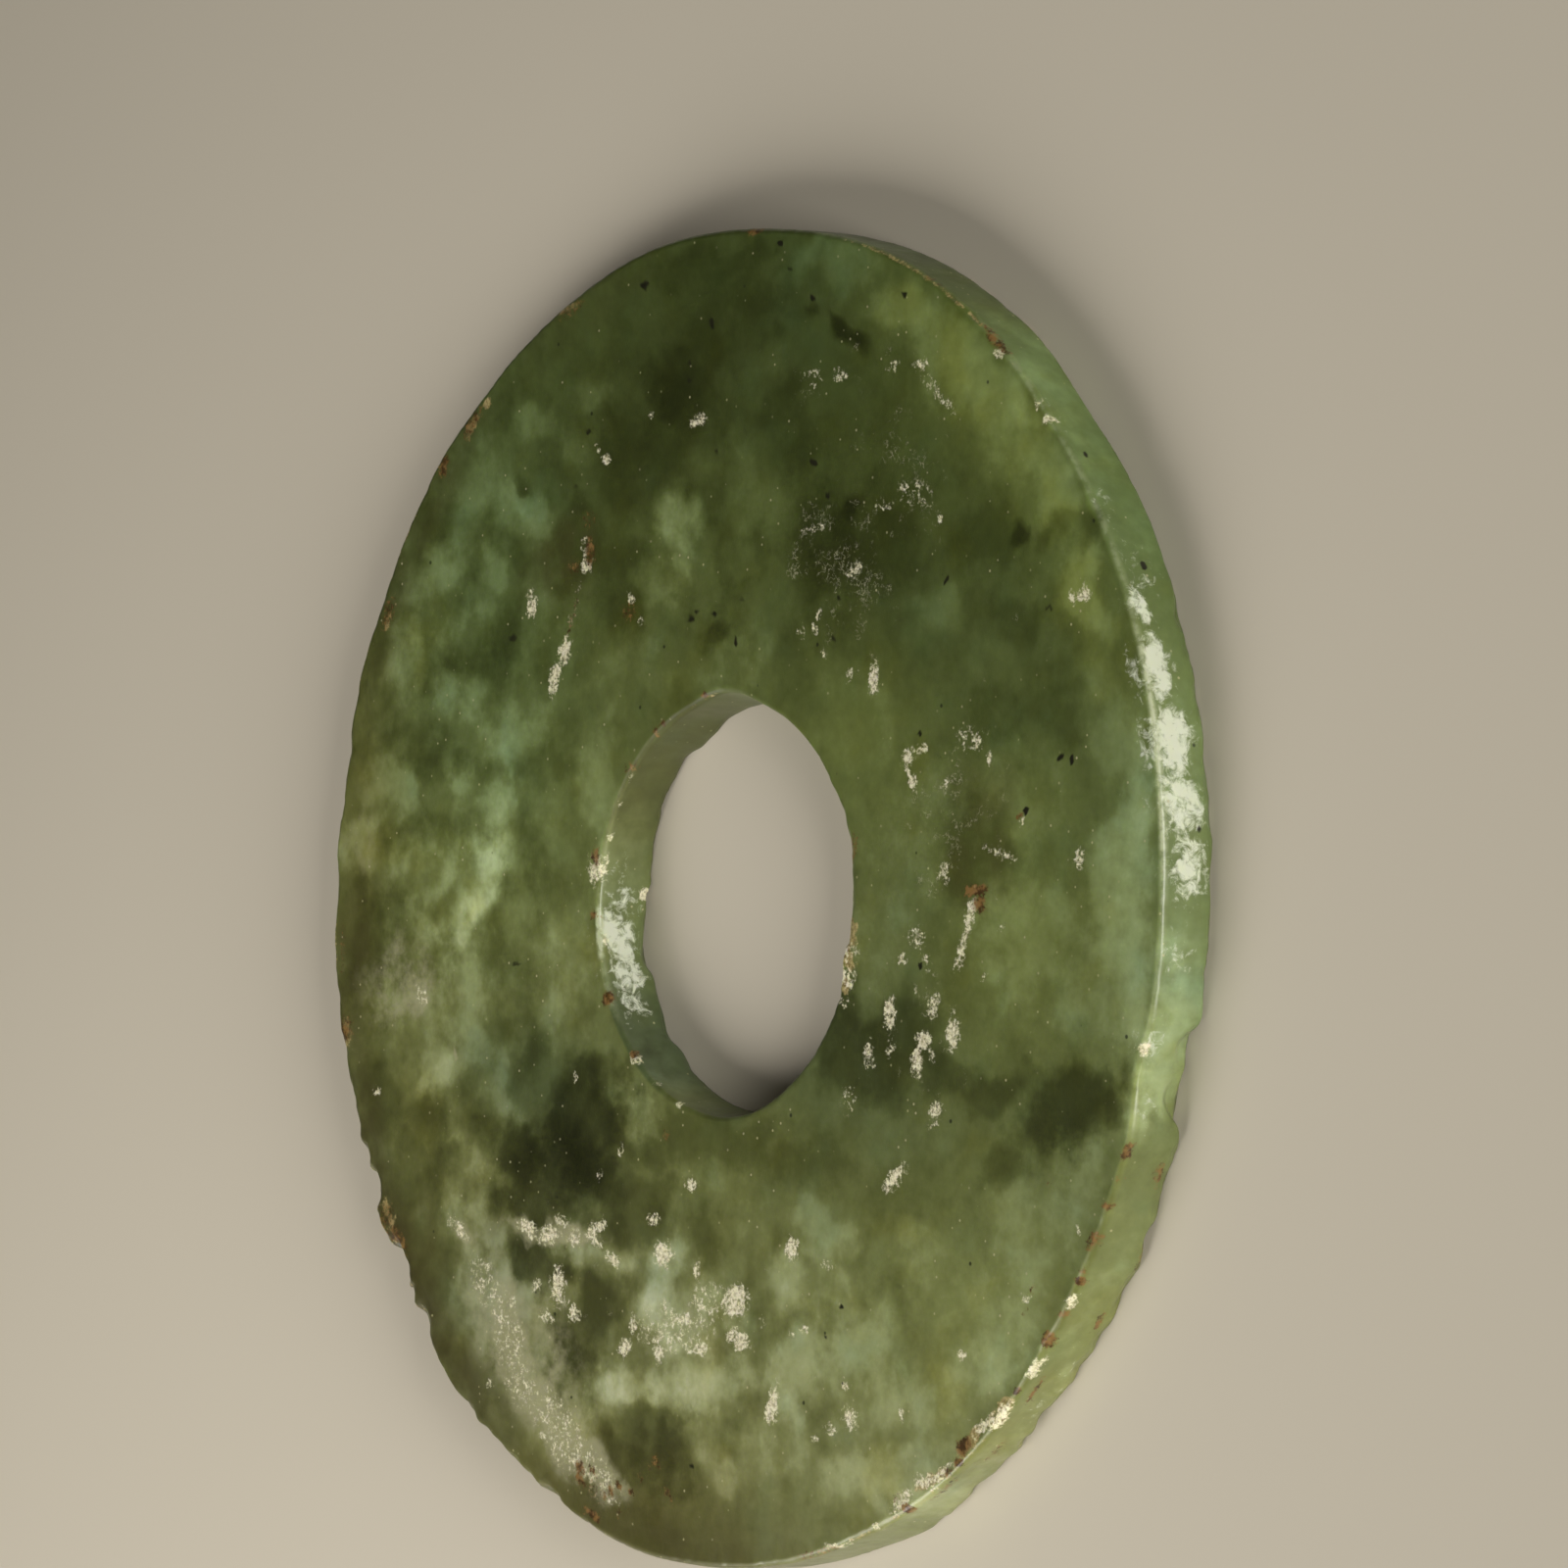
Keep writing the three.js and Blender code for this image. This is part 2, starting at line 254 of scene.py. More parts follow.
# Broad zones on top of that: x, y, half length, half width, tilt, how much paler, warmer and bluer. Some
# are painted light: the paler zone along the lit right edge at x 54 is a painted glow, and the darker zones
# near the top are painted shade.
TONE_AND_LIGHT_ZONES = (
    (-10, -52, 13, 5, 0, -0.75, 0.08, -0.3), (17, 25, 8, 6, 0, -0.25, 0, 0),
    (-31, -37, 6, 8, -45, -0.2, -0.05, 0.1), (-21, 47, 10, 5, 15, 0.2, 0, 0),
    (54, 0, 4, 24, 0, 0.35, 0, 0.1), (30, 41, 12, 6, -38, 0.32, 0.06, 0),
    (-33, 24, 12, 20, 0, 0.03, -0.12, 0.08), (-20, -34, 18, 8, 0, 0, 0, 0.1),
    (10, 30, 40, 20, 0, 0, 0, -0.08), (-30, 4, 16, 12, 0, 0.2, -0.02, 0),
    (-8, 43, 18, 8, 0, -0.35, 0, -0.05), (20, 31, 12, 9, 0, -0.2, 0, -0.12),
    (38, -2, 9, 12, 0, 0.1, 0.02, -0.18), (17, 12, 8, 8, -40, 0.15, 0.02, -0.1),
    (42, 28, 4, 14, 40, 0.25, 0.03, -0.05), (-52, 12, 4, 16, 0, -0.1, 0.08, -0.1),
    (32, -32, 12, 8, 0, 0.1, 0, -0.1), (-27, -15, 8, 4, 0, -0.3, -0.1, 0.05),
    (-21, -22, 8, 6, 10, -0.25, -0.04, 0.05), (15, -23, 12, 4, 0, -0.12, 0, -0.08),
    (19, -14, 9, 5, 0, -0.1, -0.06, 0.1), (0, -24, 10, 5, 0, -0.05, 0, -0.08),
)

# Pale crusts on the top face.
CRUSTS = {
    1: ((-4, 39, 1.2, 0.5, 15), (-19.2, 27.6, 0.8, 0.5), (-22, 20.5, 1.5, 0.9, 60),
        (-23.4, 18.2, 1.5, 0.7, 75), (24.3, 10.6, 0.8, 0.9), (24.8, 8.9, 1.1, 0.5, 110),
        (34.3, 10.3, 0.5, 0.6), (45.3, 23, 1.2, 0.5, 10), (32.4, -1.8, 2, 0.6, 74), (10.6, -28.7, 1),
        (3.3, -33.3, 1.9, 1.4, 10), (3.8, -36.4, 1.6, 0.9, -10), (53.2, -12, 0.8, 0.6),
        (-6.6, -29.8, 1.5, 1), (-3.5, -35, 1.3, 0.5), (-11.6, -37.9, 1.2, 0.7, 25), (34.5, 42.4, 0.7, 0.4),
        (40.6, 36.7, 0.5, 0.4), (-11.2, -13.6, 0.7, 0.5, -45)),
    0.95: ((26, -13.2, 0.6, 1.5, 5), (30.5, -11.3, 0.9, 1.4, -10), (23.7, -22.7, 1.8, 0.8, 35),
        (8.4, -41.7, 0.8, 1.7, -10)),
    0.9: ((-16.6, 36.4, 0.6, 0.5), (11.8, 21.4, 0.4), (19.6, 17.2, 0.7, 1.4), (26, 11.3, 0.7, 0.5, 20),
        (44, 22.6, 0.5), (31.2, -4.8, 1.3, 0.5, 80), (24, -5.3, 0.5, 0.4), (25.6, -7.7, 0.4),
        (22.5, -9.8, 0.8, 1.6), (26.8, -11.8, 1.2, 0.9, 25), (28, -9, 1.1, 0.7, 50), (32.4, -36.3, 0.5),
        (45.2, -31.6, 0.8, 0.4, 40), (41, -37, 1.2, 0.5, 40), (41.3, -36.8, 1.2, 0.6, 40),
        (-1.6, -37.4, 1.5, 0.5, 5), (-25.5, -28.4, 1.6, 0.7, -20), (-15.8, -28, 1.6, 0.7, 20),
        (-5, -17.3, 0.5, 0.4)),
    0.85: ((-26.8, 24.6, 1.6, 0.7, 100), (24.8, 41.9, 0.9, 0.4), (36, -41.3, 2.8, 0.6, 33),
        (-18.8, -28.9, 1.2, 0.6)),
    0.8: ((-12.8, 24.8, 0.4), (12.4, 22.5, 0.4), (28.8, 8.6, 0.4), (38.5, 5.4, 0.4), (-3, -24, 1, 0.6),
        (25, -48, 1.3, 0.6, 30), (28, -46.5, 1.5, 0.6, -10), (40, -31.4, 0.5), (29.5, -46, 2.5, 0.5, 30),
        (25.3, -48.2, 1.8, 0.8, 25), (-7, -38, 0.7, 1), (-22.5, -28.8, 1.8, 0.8, 10),
        (-13.5, -30.5, 1.3, 0.5, -20), (-21, -33, 1.2, 1.8), (-18.7, -35.3, 1.2, 0.8, -30),
        (-35, -29, 1.2, 0.6, -30), (-17, 2, 1, 1.5)),
    0.7: ((-10.5, 40, 0.4), (27.8, 29.6, 0.5, 0.4), (17, 26, 0.9, 0.6), (13.2, 19.4, 0.6, 0.5),
        (31, -6, 0.5), (20, -12.8, 0.6, 1.2), (-8, -27, 1, 0.5), (18.5, -42, 1.1), (25, -41.3, 0.4, 0.6),
        (22, -50.5, 0.6, 0.4), (-2, -31, 0.5, 1), (-6, -34, 0.6, 0.5), (-15.5, -29.2, 1, 0.4),
        (-24, -33, 0.8, 0.5), (-22.5, -35.8, 1.3, 0.5, -10), (-48.3, -17.2, 0.8, 0.4, -10),
        (-22.7, -45.5, 0.8, 0.4), (-30.5, -41.8, 0.4), (-8.2, -15.7, 0.4)),
    0.6: ((-17.9, 37.4, 0.4), (-19.4, 29.2, 0.6, 1), (-11.3, 22.7, 0.4), (14.8, 41.8, 1.2, 0.6, 10),
        (10.2, 21, 0.5), (45.4, 2.6, 0.7, 0.9), (29, 1.5, 0.8, 1), (30.4, -9.3, 0.5), (9, -39.8, 0.5),
        (11, -35.6, 0.6, 0.4), (18, -39.4, 0.6), (16, -43, 1, 0.4, -15), (14, -43.8, 0.5, 0.4),
        (46, -26, 0.6, 0.4), (-1.7, -33.7, 1.2, 0.8), (-5.5, -37, 1, 0.5), (-20.8, -27.4, 1.2, 0.5),
        (-19.3, -15.5, 0.4), (-12.8, -21.3, 0.5, 0.4), (-15.5, -23.5, 0.6, 0.4), (-22, -42.5, 0.8),
        (-21, -46.6, 0.4, 0.7), (-18, -47.5, 2, 0.8, -30), (39.3, 38, 0.4), (17.2, -5.6, 0.8, 0.3, 104)),
    0.55: ((21.4, 42, 0.9, 0.5, 30), (20.2, -13.7, 0.9, 0.8), (28.5, -17.5, 0.9, 1.6, -20)),
    0.5: ((-20.8, 24, 2.4, 0.4, 68), (36, -2.8, 0.4), (34.2, -6.6, 0.4), (25.8, -3.6, 1, 1.2),
        (22.8, -12.5, 0.5, 1), (27.8, -13, 0.6), (15.3, -30, 1, 0.5), (12.5, -35.3, 0.7, 0.4),
        (17, -52.3, 2.5, 0.3, 14), (-10.3, -35.7, 0.8), (-27.5, -34.5, 0.8, 0.5), (-36.5, -28.3, 0.8)),
    0.48: ((26.5, 40, 2.2, 0.6, -40),),
    0.45: ((32, 12, 2, 1), (35.8, 3, 2.5, 0.5, -15), (-41.8, -8.6, 0.8, 1.2, 20)),
    0.4: ((20.6, 31, 1.4, 0.5), (11.5, 29.3, 2, 0.5, 5), (16, 25.5, 1, 0.4), (27.2, -5.5, 0.6, 1),
        (6.8, -34.8, 0.6)),
    0.36: ((-15, -48.6, 4, 1.8, -30),),
    0.35: ((28.5, 38.5, 1.5, 0.5, -35), (16.8, 17.5, 1.2, 0.5, 20), (-5, -36, 6, 2)),
    0.32: ((-28, -37.5, 4.5, 2.4, -65),),
    0.3: ((11, 41.5, 1.5, 1), (24.5, 31.6, 2.6, 1.3, -20), (17.5, -16.5, 1.2, 1.5),
        (-26, -41.5, 3, 2.4, -50), (-20, -45.5, 6, 2.6, -38), (-31.5, -33, 3, 2, -50), (0, -33.5, 3, 2)),
}

# Rust and brown earth on the top face and its edges.
RUSTS = {
    1: ((33, 0.1, 1.7, 0.6), (-15, -8.8, 0.7), (-11.5, -13.4, 0.4), (-17.5, -48, 0.8),
        (-13, -49.7, 0.6, 0.4, -25), (-12, -49.1, 0.5, 0.35), (-10.5, -49.7, 0.5, 0.35),
        (25.8, -48.8, 0.9, 0.5, 15), (32.2, -44.7, 0.7, 0.4, 25), (42.6, -34.8, 0.6, 0.9),
        (46.3, -30.1, 0.6, 0.5)),
    0.9: ((33.5, -1, 1, 0.8), (38.2, 5.9, 0.6, 0.4), (-8, 14, 0.5, 0.4), (-9, 13.4, 0.4), (-2.5, 16.2, 0.4),
        (-17.5, -49.2, 0.9, 0.4, -10), (-15.5, -52, 1.5, 0.6, -20), (32.8, -43.3, 1.2, 0.9, 20),
        (51.3, -20, 0.8, 0.4, 60), (-40, 37, 1.2, 0.6, 50)),
    0.8: ((-17, -1.9, 0.5), (-17, 3, 0.6, 1.1), (-15.8, -48, 0.7, 0.4, -35), (-14, -50.5, 0.4),
        (-7.2, -47, 0.5), (-6.5, -47.3, 0.4), (-5.3, -49.3, 0.5, 0.4), (39, -38.7, 0.6, 0.4, 35),
        (44.3, -32.6, 0.7, 0.4, 30), (49.3, -24, 0.6, 0.4, 30), (27, 48.5, 2.5, 0.5, -25),
        (34, 43.6, 3, 0.6, -38), (-53.2, -12, 0.8, 1.2, 10)),
    0.7: ((-18.7, 28.8, 0.8, 1.6), (-12, -51.5, 0.6, 0.4), (-9, -48.4, 0.4), (-8, -47.6, 0.4),
        (-4.8, -50, 0.4), (31, -45.5, 0.8, 0.4, 25), (47.7, -26.8, 0.6, 1.1, -30), (-44.5, -30, 2, 1, -40),
        (2.8, 54.3, 1.3, 0.5)),
    0.6: ((-20.8, 27.6, 0.9, 0.8), (-21, 23.5, 0.4, 2.4, -20), (17.6, 3.5, 0.6, 1.5),
        (31, 46.2, 2, 0.5, -35), (-36, 40.5, 2.5, 0.8, 45)),
    0.5: ((-13, 23.5, 1.2, 1), (-12.5, 10.5, 0.8, 0.6), (-6.5, -20, 0.6), (24.5, -48, 0.8, 0.5),
        (15, -53, 4, 0.5, 12), (46.5, -29.3, 0.4), (50.5, -22, 0.4), (40.6, -30.8, 0.5, 0.6),
        (39.9, -32.7, 0.4), (-22, 49.5, 2.5, 0.6, 22), (-48, 24.5, 1, 2, -25), (-46.5, -28, 1.5),
        (-52.8, -11.5, 0.8, 1.5, 10)),
    0.4: ((-19, 31.5, 1.5, 1), (42.5, -22.7, 0.6, 0.5), (-54, -5, 0.6, 3)),
    0.35: ((-15.5, -49.5, 2.5, 1.2, -25),),
}

# Dark mineral specks.
SPECKS = {
    1: ((-2.5, 47, 0.5, 0.4, -20), (6.4, 53.1, 0.5, 0.35), (11, 48.3, 0.35), (28.6, 24.6, 0.35),
        (44.2, 10.2, 0.35), (38.9, 6.4, 0.5, 0.35), (26.3, -5.9, 0.4, 0.35)),
    0.9: ((7.9, 51, 0.4, 0.35), (22.7, 47.6, 0.35), (11.5, 34.8, 0.6, 0.4), (1.5, 20.6, 0.4),
        (43, 10.4, 0.4, 0.35), (17.2, -33.3, 0.35)),
    0.8: ((-11.8, 50.8, 0.7, 0.5), (13.4, 32.1, 0.4, 0.35), (-1.3, 22.9, 0.4, 0.35),
        (25.6, 12.6, 0.4, 0.35), (-2.2, -47.2, 0.35)),
    0.7: ((-5.4, 43.9, 0.4, 0.5), (-5.5, 42.6, 0.4), (-19.3, 39, 0.5, 0.4), (-4.5, 22.7, 0.7, 0.5),
        (-3.7, 23.3, 0.35), (14.4, 20.5, 0.4), (15, 23.6, 0.35), (15.3, -35.8, 0.3)),
    0.6: ((-1.5, 36.5, 0.4, 0.5), (-28, -6, 0.8, 0.35), (-29.5, 21.8, 0.8, 0.4), (41.2, 22, 0.8, 0.4, -20),
        (-20.8, 34.3, 0.5, 0.4)),
    0.5: ((2.3, 24, 0.6, 0.4),),
    0.4: ((24.3, -31.3, 0.8, 0.6),),
}

# Tan scars at the edges of the top face.
TAN_SCARS = {
    1.4: ((17.3, -5.2, 1.4, 0.6, 105),),
    1.3: ((17.8, -3.2, 1.6, 0.55, 101), (16.6, -7.3, 1.2, 0.6, 112)),
    1: ((33.5, -43, 2, 0.7, 35),),
    0.9: ((-34, 42.2, 0.6, 0.5, 45), (29, -46.2, 2.6, 0.6, 28)),
    0.8: ((-36, 40.3, 1.6, 0.6, 48), (36.8, -40.6, 2.4, 0.7, 42)),
    0.7: ((-22.5, 49.6, 1.6, 0.4, 20),),
    0.65: ((-52.9, -12, 1.8, 0.6, 100),),
    0.6: ((-48, 23.8, 1, 0.6, 60),),
    0.5: ((-46, -27.8, 2.2, 1, -50),),
}

# Marks on the walls of the rim and of the hole: degrees round the wall, height over mid thickness in mm,
# then half length, half width and tilt as above.
# The rim's frosts are whitish frost with a painted highlight in it, where the rim faces the light.
RIM_FROSTS_AND_HIGHLIGHTS = {
    1.7: ((12, 0.8, 3.5, 2.4),),
    1.5: ((18, 1.2, 3.5, 1.8), (7, 0.4, 3, 2.4)),
    1.2: ((23, 1.5, 3, 1, 8),),
    1.1: ((2, 0, 3.5, 2.4),),
    0.7: ((-12, 1.6, 2, 1.2),),
    0.5: ((42, 1.8, 3, 0.6), (-18, 1.2, 2, 1)),
    0.45: ((27, 0.2, 3, 2),),
    0.4: ((-5, 0.5, 3, 2), (33, 1.5, 3, 1)),
    0.3: ((-44, -0.5, 5, 1.5),),
}
WALL_RUSTS = {
    0.9: ((-36.8, -1.2, 1.2, 0.4), (-23, -1.4, 1.5, 0.4)),
    0.8: ((-45, 0.9, 2.5, 0.35, 5),),
    0.6: ((-30, -1.9, 2, 0.4),),
    0.5: ((-52, 0.4, 2, 0.5), (-58, 1.8, 3, 0.5)),
}
WALL_SPECKS = {
    1: ((27, -0.1, 0.5, 0.4),),
    0.9: ((38, 0.9, 0.4, 0.3),),
    0.8: ((5, -1.2, 0.4, 0.3),),
}
WALL_CLOUDS = {
    0.5: ((-50, 0, 9, 3), (45, 0, 12, 3)),
    0.45: ((-8, 0, 8, 3), (-35, 0, 9, 3)),
    0.4: ((-14, 0, 5, 3), (32, 0, 6, 3)),
    0.35: ((12, 0, 10, 3),),
}
# On the hole's wall these are a painted highlight, white and grainy.
HOLE_HIGHLIGHTS = {
    1.7: ((187, 1.4, 2.2, 1.1),),
    1.4: ((190, 0.2, 2.8, 2),),
    1.15: ((199, 0.2, 2.8, 2.2),),
    0.9: ((180, 0.4, 2.2, 2), (207, 0.2, 2.6, 1.8)),
    0.5: ((214, 1, 2, 1),),
    0.4: ((170, 0.8, 2, 1.2),),
}
HOLE_CREAMS = {
    1: ((-19, 2.3, 1.3, 0.4),),
    0.9: ((-12, 2.3, 1.1, 0.35), (-25, 2.3, 0.8, 0.35), (170, 2.2, 0.7, 0.5), (176, -1.9, 0.6, 0.7)),
    0.8: ((190, 1.9, 0.8, 0.4), (166, 2.1, 0.4, 0.3), (160, 2.2, 0.5, 0.3)),
    0.7: ((150, 2.2, 0.5, 0.3),),
    0.6: ((141, 2.2, 0.4, 0.3),),
}

# Stretches of the edges: middle and half range in degrees, strength.
# The pale rim arris is partly worn stone and partly a painted highlight.
WORN_AND_HIGHLIT_ARRIS = ((11, 12, 1.2), (30, 14, 0.4), (46, 8, 0.4), (-6, 6, 0.3))
TAN_ARRIS = ((150, 26, 0.7), (192, 22, 0.6), (222, 20, 0.7), (62, 14, 0.7), (-62, 18, 0.5), (120, 12, 0.5))
TAN_ARRIS_SHARE = 0.8
# The pale stretch of the hole's top arris is a painted highlight.
HIGHLIT_HOLE_ARRIS = ((187, 8, 2.2), (172, 10, 0.35), (204, 10, 0.4))
TAN_HOLE_ARRIS = ((-14, 9, 1.0), (36, 12, 0.6), (100, 10, 0.4))
DULL_HOLE_ARRIS = ((125, 40, 1.4),)
# The far edge's olive-brown band, and between which distances from the centre it fades in.
EDGE_BAND = ((145, 18, 0.4), (190, 9, 0.6), (216, 28, 0.95), (112, 14, 0.2), (262, 24, 0.5))
EDGE_BAND_REACH = (49.8, 53.4)
# How the walls' tone changes round them: middle and half range in degrees, paler, warmer, bluer.
# On the hole's wall, the darker stretch round 128 degrees, with its top arris, is painted shade.
HOLE_SHADE_AND_TONES = ((128, 42, -0.5, 0.12, -0.15), (222, 22, -0.4, -0.12, 0.2))
RIM_TONES = ((40, 16, 0.22, -0.05, 0.1), (-38, 26, 0.05, 0.06, -0.1))

# Where each kind of mark starts and ends its fall to nothing, as shares of its half size.
PATCH_FALL = (0.2, 1.8)
ZONE_FALL = (0.0, 2.0)
STRETCH_FALL = (0.4, 1.3)
HUE_FALL = (0.2, 1.7)
CLOUD_FALL = (0.3, 1.6)
MOTTLE_FALL = (0.3, 1.5)
FROST_AND_HIGHLIGHT_FALL = (0.3, 1.3)
CRUST_FALL = (0.35, 1.35)
WALL_CRUST_FALL = (0.4, 1.3)
RUST_FALL = (0.4, 1.3)
WALL_RUST_FALL = (0.4, 1.2)
SPECK_FALL = (0.5, 1.4)
WALL_SPECK_FALL = (0.5, 1.3)
SCAR_FALL = (0.5, 1.3)

# How marks are warped, so that their outlines aren't clean ellipses: how far, lattice size, seed.
CLOUD_WARPS = ((1.5, 4.0, 51), (0.7, 1.5, 53))
SPOT_WARPS = ((0.25, 0.8, 57),)
BAND_WARPS = ((0.6, 2.5, 61),)

# Between which depths under the top face marks fade in, in mm, and the clouds' strength underneath.
SKIN_DEPTH = (1.2, 0.25)
WALL_DEPTH = (0.2, 0.7)
WALL_TONE_DEPTH = (0.0, 0.05)
CLOUDS_BELOW = 0.45

# The stone's noise textures: size in mm, detail, roughness, distortion, offset.
NOISES = {
    "puffs": (4.6, 4, 0.52, 0.1, (31, 7, 3)),
    "puff_grain": (1.2, 3, 0.55, 0.0, (3, 57, 11)),
    "lobes": (3.4, 4, 0.6, 0.0, (61, 27, 43)),
    "hue": (6, 4, 0.6, 0.0, (91, 17, 5)),
    "small": (0.9, 3, 0.6, 0.0, (7, 57, 11)),
    "grain": (0.34, 3, 0.7, 0.0, (13, 5, 71)),
    "middle": (3.0, 4, 0.55, 0.0, (43, 9, 21)),
    "worms": (0.95, 4, 0.7, 0.6, (5, 23, 67)),
    "scores": (0.62, 3, 0.6, 0.3, (17, 83, 29)),
}
# How a mark's value becomes its cover: the value's gain, the noises' shares, an offset, between which sums
# the cover grows, between which values it fades in, and how strong it can get.
COVERS = {
    "cream": (1.0, {"small": 0.8, "middle": 1.2}, -1.0, (0.1, 0.75), (0.02, 0.5), 0.75),
    "frost_and_highlight": (0.5, {"worms": 2.0}, -1.0, (0.25, 0.75), (0.02, 0.2), 0.8),
    "tan_edge": (1.0, {"small": 1.6, "grain": 0.8}, -1.2, (0.35, 0.75), (0.02, 0.3), 0.85),
    "crust": (0.82, {"small": 1.7, "grain": 1.9}, -1.8, (0.2, 0.75), (0.03, 0.2), 0.88),
    "scored": (0.55, {"middle": 1.6, "small": 1.2}, -1.6, (0.3, 0.6), (0.02, 0.3), 0.55),
    "rust": (0.7, {"grain": 1.6}, -0.8, (0.2, 0.55), (0.03, 0.2), 1.0),
}
# Noises as shares of a layer or of its paler colour: which noise, from and to, the share at each.
SPANS = {
    "brown": ("middle", 0.3, 0.65, 0.3, 0.9),
    "edge_band": ("middle", 0.3, 0.6, 0.5, 0.9),
    "pale_edge_and_highlight": ("small", 0.35, 0.6, 0.25, 0.9),
    "pale_dots": ("middle", 0.35, 0.6, 0.1, 0.75),
    "tan": ("grain", 0.35, 0.62),
    "crust": ("grain", 0.35, 0.6),
    "rust": ("small", 0.4, 0.6),
}
SCORE_WIDTH = (0.006, 0.035)
SPECK_SPAN = (0.3, 0.7)
# Tiny dots: the cells' spacing and the dots' radius in mm, the share of cells with a dot, offset.
PALE_DOTS = (1.0, 0.14, 0.35, (3, 3, 3))
DARK_DOTS = (2.6, 0.22, 0.25, (37, 3, 19))
DARK_DOTS_SHARE = 0.8

# How noises and clouds make the stone's tone and its hue, which is warm above 0 and cool below.
LOBES = 1.5
PALE_SPAN = (0.08, 1.0)
DARK_SPAN = (0.05, 0.9)
PUFF_SPAN = (0.36, 0.64)
PUFF_TONE = 0.1
GRAIN_TONE = 0.2
PALE_TONE = 0.40
DARK_TONE = -0.36
WALL_PALE_TONE = 0.2
PLAIN_TONE = 0.54
HUE_OF_NOISE = 1.8
HUE_OF_CLOUDS = 0.7
HUE_OF_PUFFS = 0.8
FULL_HUE = 0.6
MOST_TINT = 0.5

# Colours, as linear red, green and blue. The stone's tones are a ramp from dark to pale.
STONE_TONES = (
    (0.0, (0.016, 0.020, 0.0038)),
    (0.25, (0.044, 0.053, 0.0115)),
    (0.45, (0.086, 0.104, 0.0272)),
    (0.62, (0.146, 0.175, 0.057)),
    (0.8, (0.252, 0.300, 0.126)),
    (1.0, (0.440, 0.510, 0.270)),
)
WARM_TINT = (1.15, 1.03, 0.60)
COOL_TINT = (0.85, 1.0, 1.25)
BROWN = (0.070, 0.058, 0.016)
CREAM = (0.38, 0.375, 0.22)
EDGE_BROWN = (0.058, 0.052, 0.015)
# Whitish frost on the rim, and the painted highlights on the rim's and the hole's walls.
FROST_AND_HIGHLIGHT = (0.76, 0.80, 0.66)
# The pale arrises' colour: worn stone, and painted highlight.
WORN_JADE_AND_HIGHLIGHT = (0.46, 0.50, 0.33)
DARK_TAN = (0.22, 0.16, 0.055)
PALE_TAN = (0.52, 0.43, 0.20)
DARK_CRUST = (0.44, 0.40, 0.24)
PALE_CRUST = (0.86, 0.82, 0.60)
SCRATCH = (0.50, 0.48, 0.33)
DARK_RUST = (0.060, 0.030, 0.008)
PALE_RUST = (0.24, 0.14, 0.045)
SPECK = (0.014, 0.014, 0.006)
PALE_DOT = (0.50, 0.47, 0.28)
DARK_DOT = (0.012, 0.016, 0.008)
FLOOR = (0.60, 0.555, 0.455)
HORIZON = (0.44, 0.40, 0.32)
CEILING = (0.06, 0.055, 0.045)

# The stone's gloss and depth. The scatter's scale and the bump's height are millimetres.
SCATTER_SCALE = 1.5
SCATTER_REACH = (0.8, 1.0, 0.4)
SCATTER_SHARE = 0.6
STONE_IOR = 1.61
STONE_SPECULAR = 0.4
STONE_ROUGHNESS = 0.26
MOTTLED_ROUGHNESS = 0.16
CRUST_ROUGHNESS = 0.398
DULL_ROUGHNESS = 0.4
CRUST_BUMP = 0.5
GRAIN_BUMP = 0.6
BUMP_STRENGTH = 0.25
BUMP_HEIGHT = 0.06

# The stage, in metres. A light is its place, aim, size, watts, colour and spread in degrees.
FLOOR_HALF = 6.0
FLOOR_ROUGHNESS = 0.8
FLOOR_SPECULAR = 0.2
WORLD_STRENGTH = 0.4
HORIZON_HEIGHT = 0.1
LIGHTS = {
    "key_softbox": ((-0.12, -0.30, 0.22), (-0.01, -0.02, 0), (0.3, 0.3), 0.545, (1.0, 0.965, 0.92), 100),
    "side_softbox": ((1.20, 0.00, 0.40), (0, 0, 0), (0.8, 0.5), 15.5, (1.0, 0.97, 0.93), 180),
}

# The camera, in millimetres, as fitted to the outline of the disc and its hole in the photograph.
CAMERA_PLACE = (469.175, -10.978, 367.187)
CAMERA_AIM = (8.664, 9.036, 5.2)
CAMERA_ROLL = 1.123
CAMERA_LENS = 165.82
CAMERA_SENSOR = 36.0
CAMERA_NEAR = 0.01

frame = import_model()
lowest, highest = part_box(NODE)
TOP = highest.z / MM
UNDERSIDE = lowest.z / MM
MIDDLE = (TOP + UNDERSIDE) / 2
TOP_RADIUS = (highest.x - lowest.x) / 2 / MM
HALF_THICKNESS = (TOP - UNDERSIDE) / 2


# Fades, angles and noise on a lattice

LATTICE = 48


def soft_step(low, high, value):
    share = np.clip((value - low) / (high - low), 0, 1)
    return share * share * (3 - 2 * share)


def degrees_round(points, centre):
    return np.degrees(np.arctan2(points[:, 1] - centre[1], points[:, 0] - centre[0]))


def apart(angles, middle):
    """The degrees from the middle to each angle, from -180 to 180."""
    return (angles - middle + 180) % 360 - 180


def lattice_noise(points, size, seed):
    """Smooth noise from -1 to 1 at points in mm; size is the spacing of its lattice in mm."""
    table = np.random.default_rng(seed).uniform(-1, 1, (LATTICE, LATTICE, LATTICE))
    place = points / size
    cell = np.floor(place).astype(int)
    part = soft_step(0, 1, place - cell)
    total = np.zeros(len(points))
    for corner in np.ndindex(2, 2, 2):
        index = (cell + corner) % LATTICE
        weight = np.ones(len(points))
        for axis in range(3):
            weight *= part[:, axis] if corner[axis] else 1 - part[:, axis]
        total += weight * table[index[:, 0], index[:, 1], index[:, 2]]
    return total


# The surface's rings of points

def circle(count):
    return 2 * np.pi * np.arange(count) / count


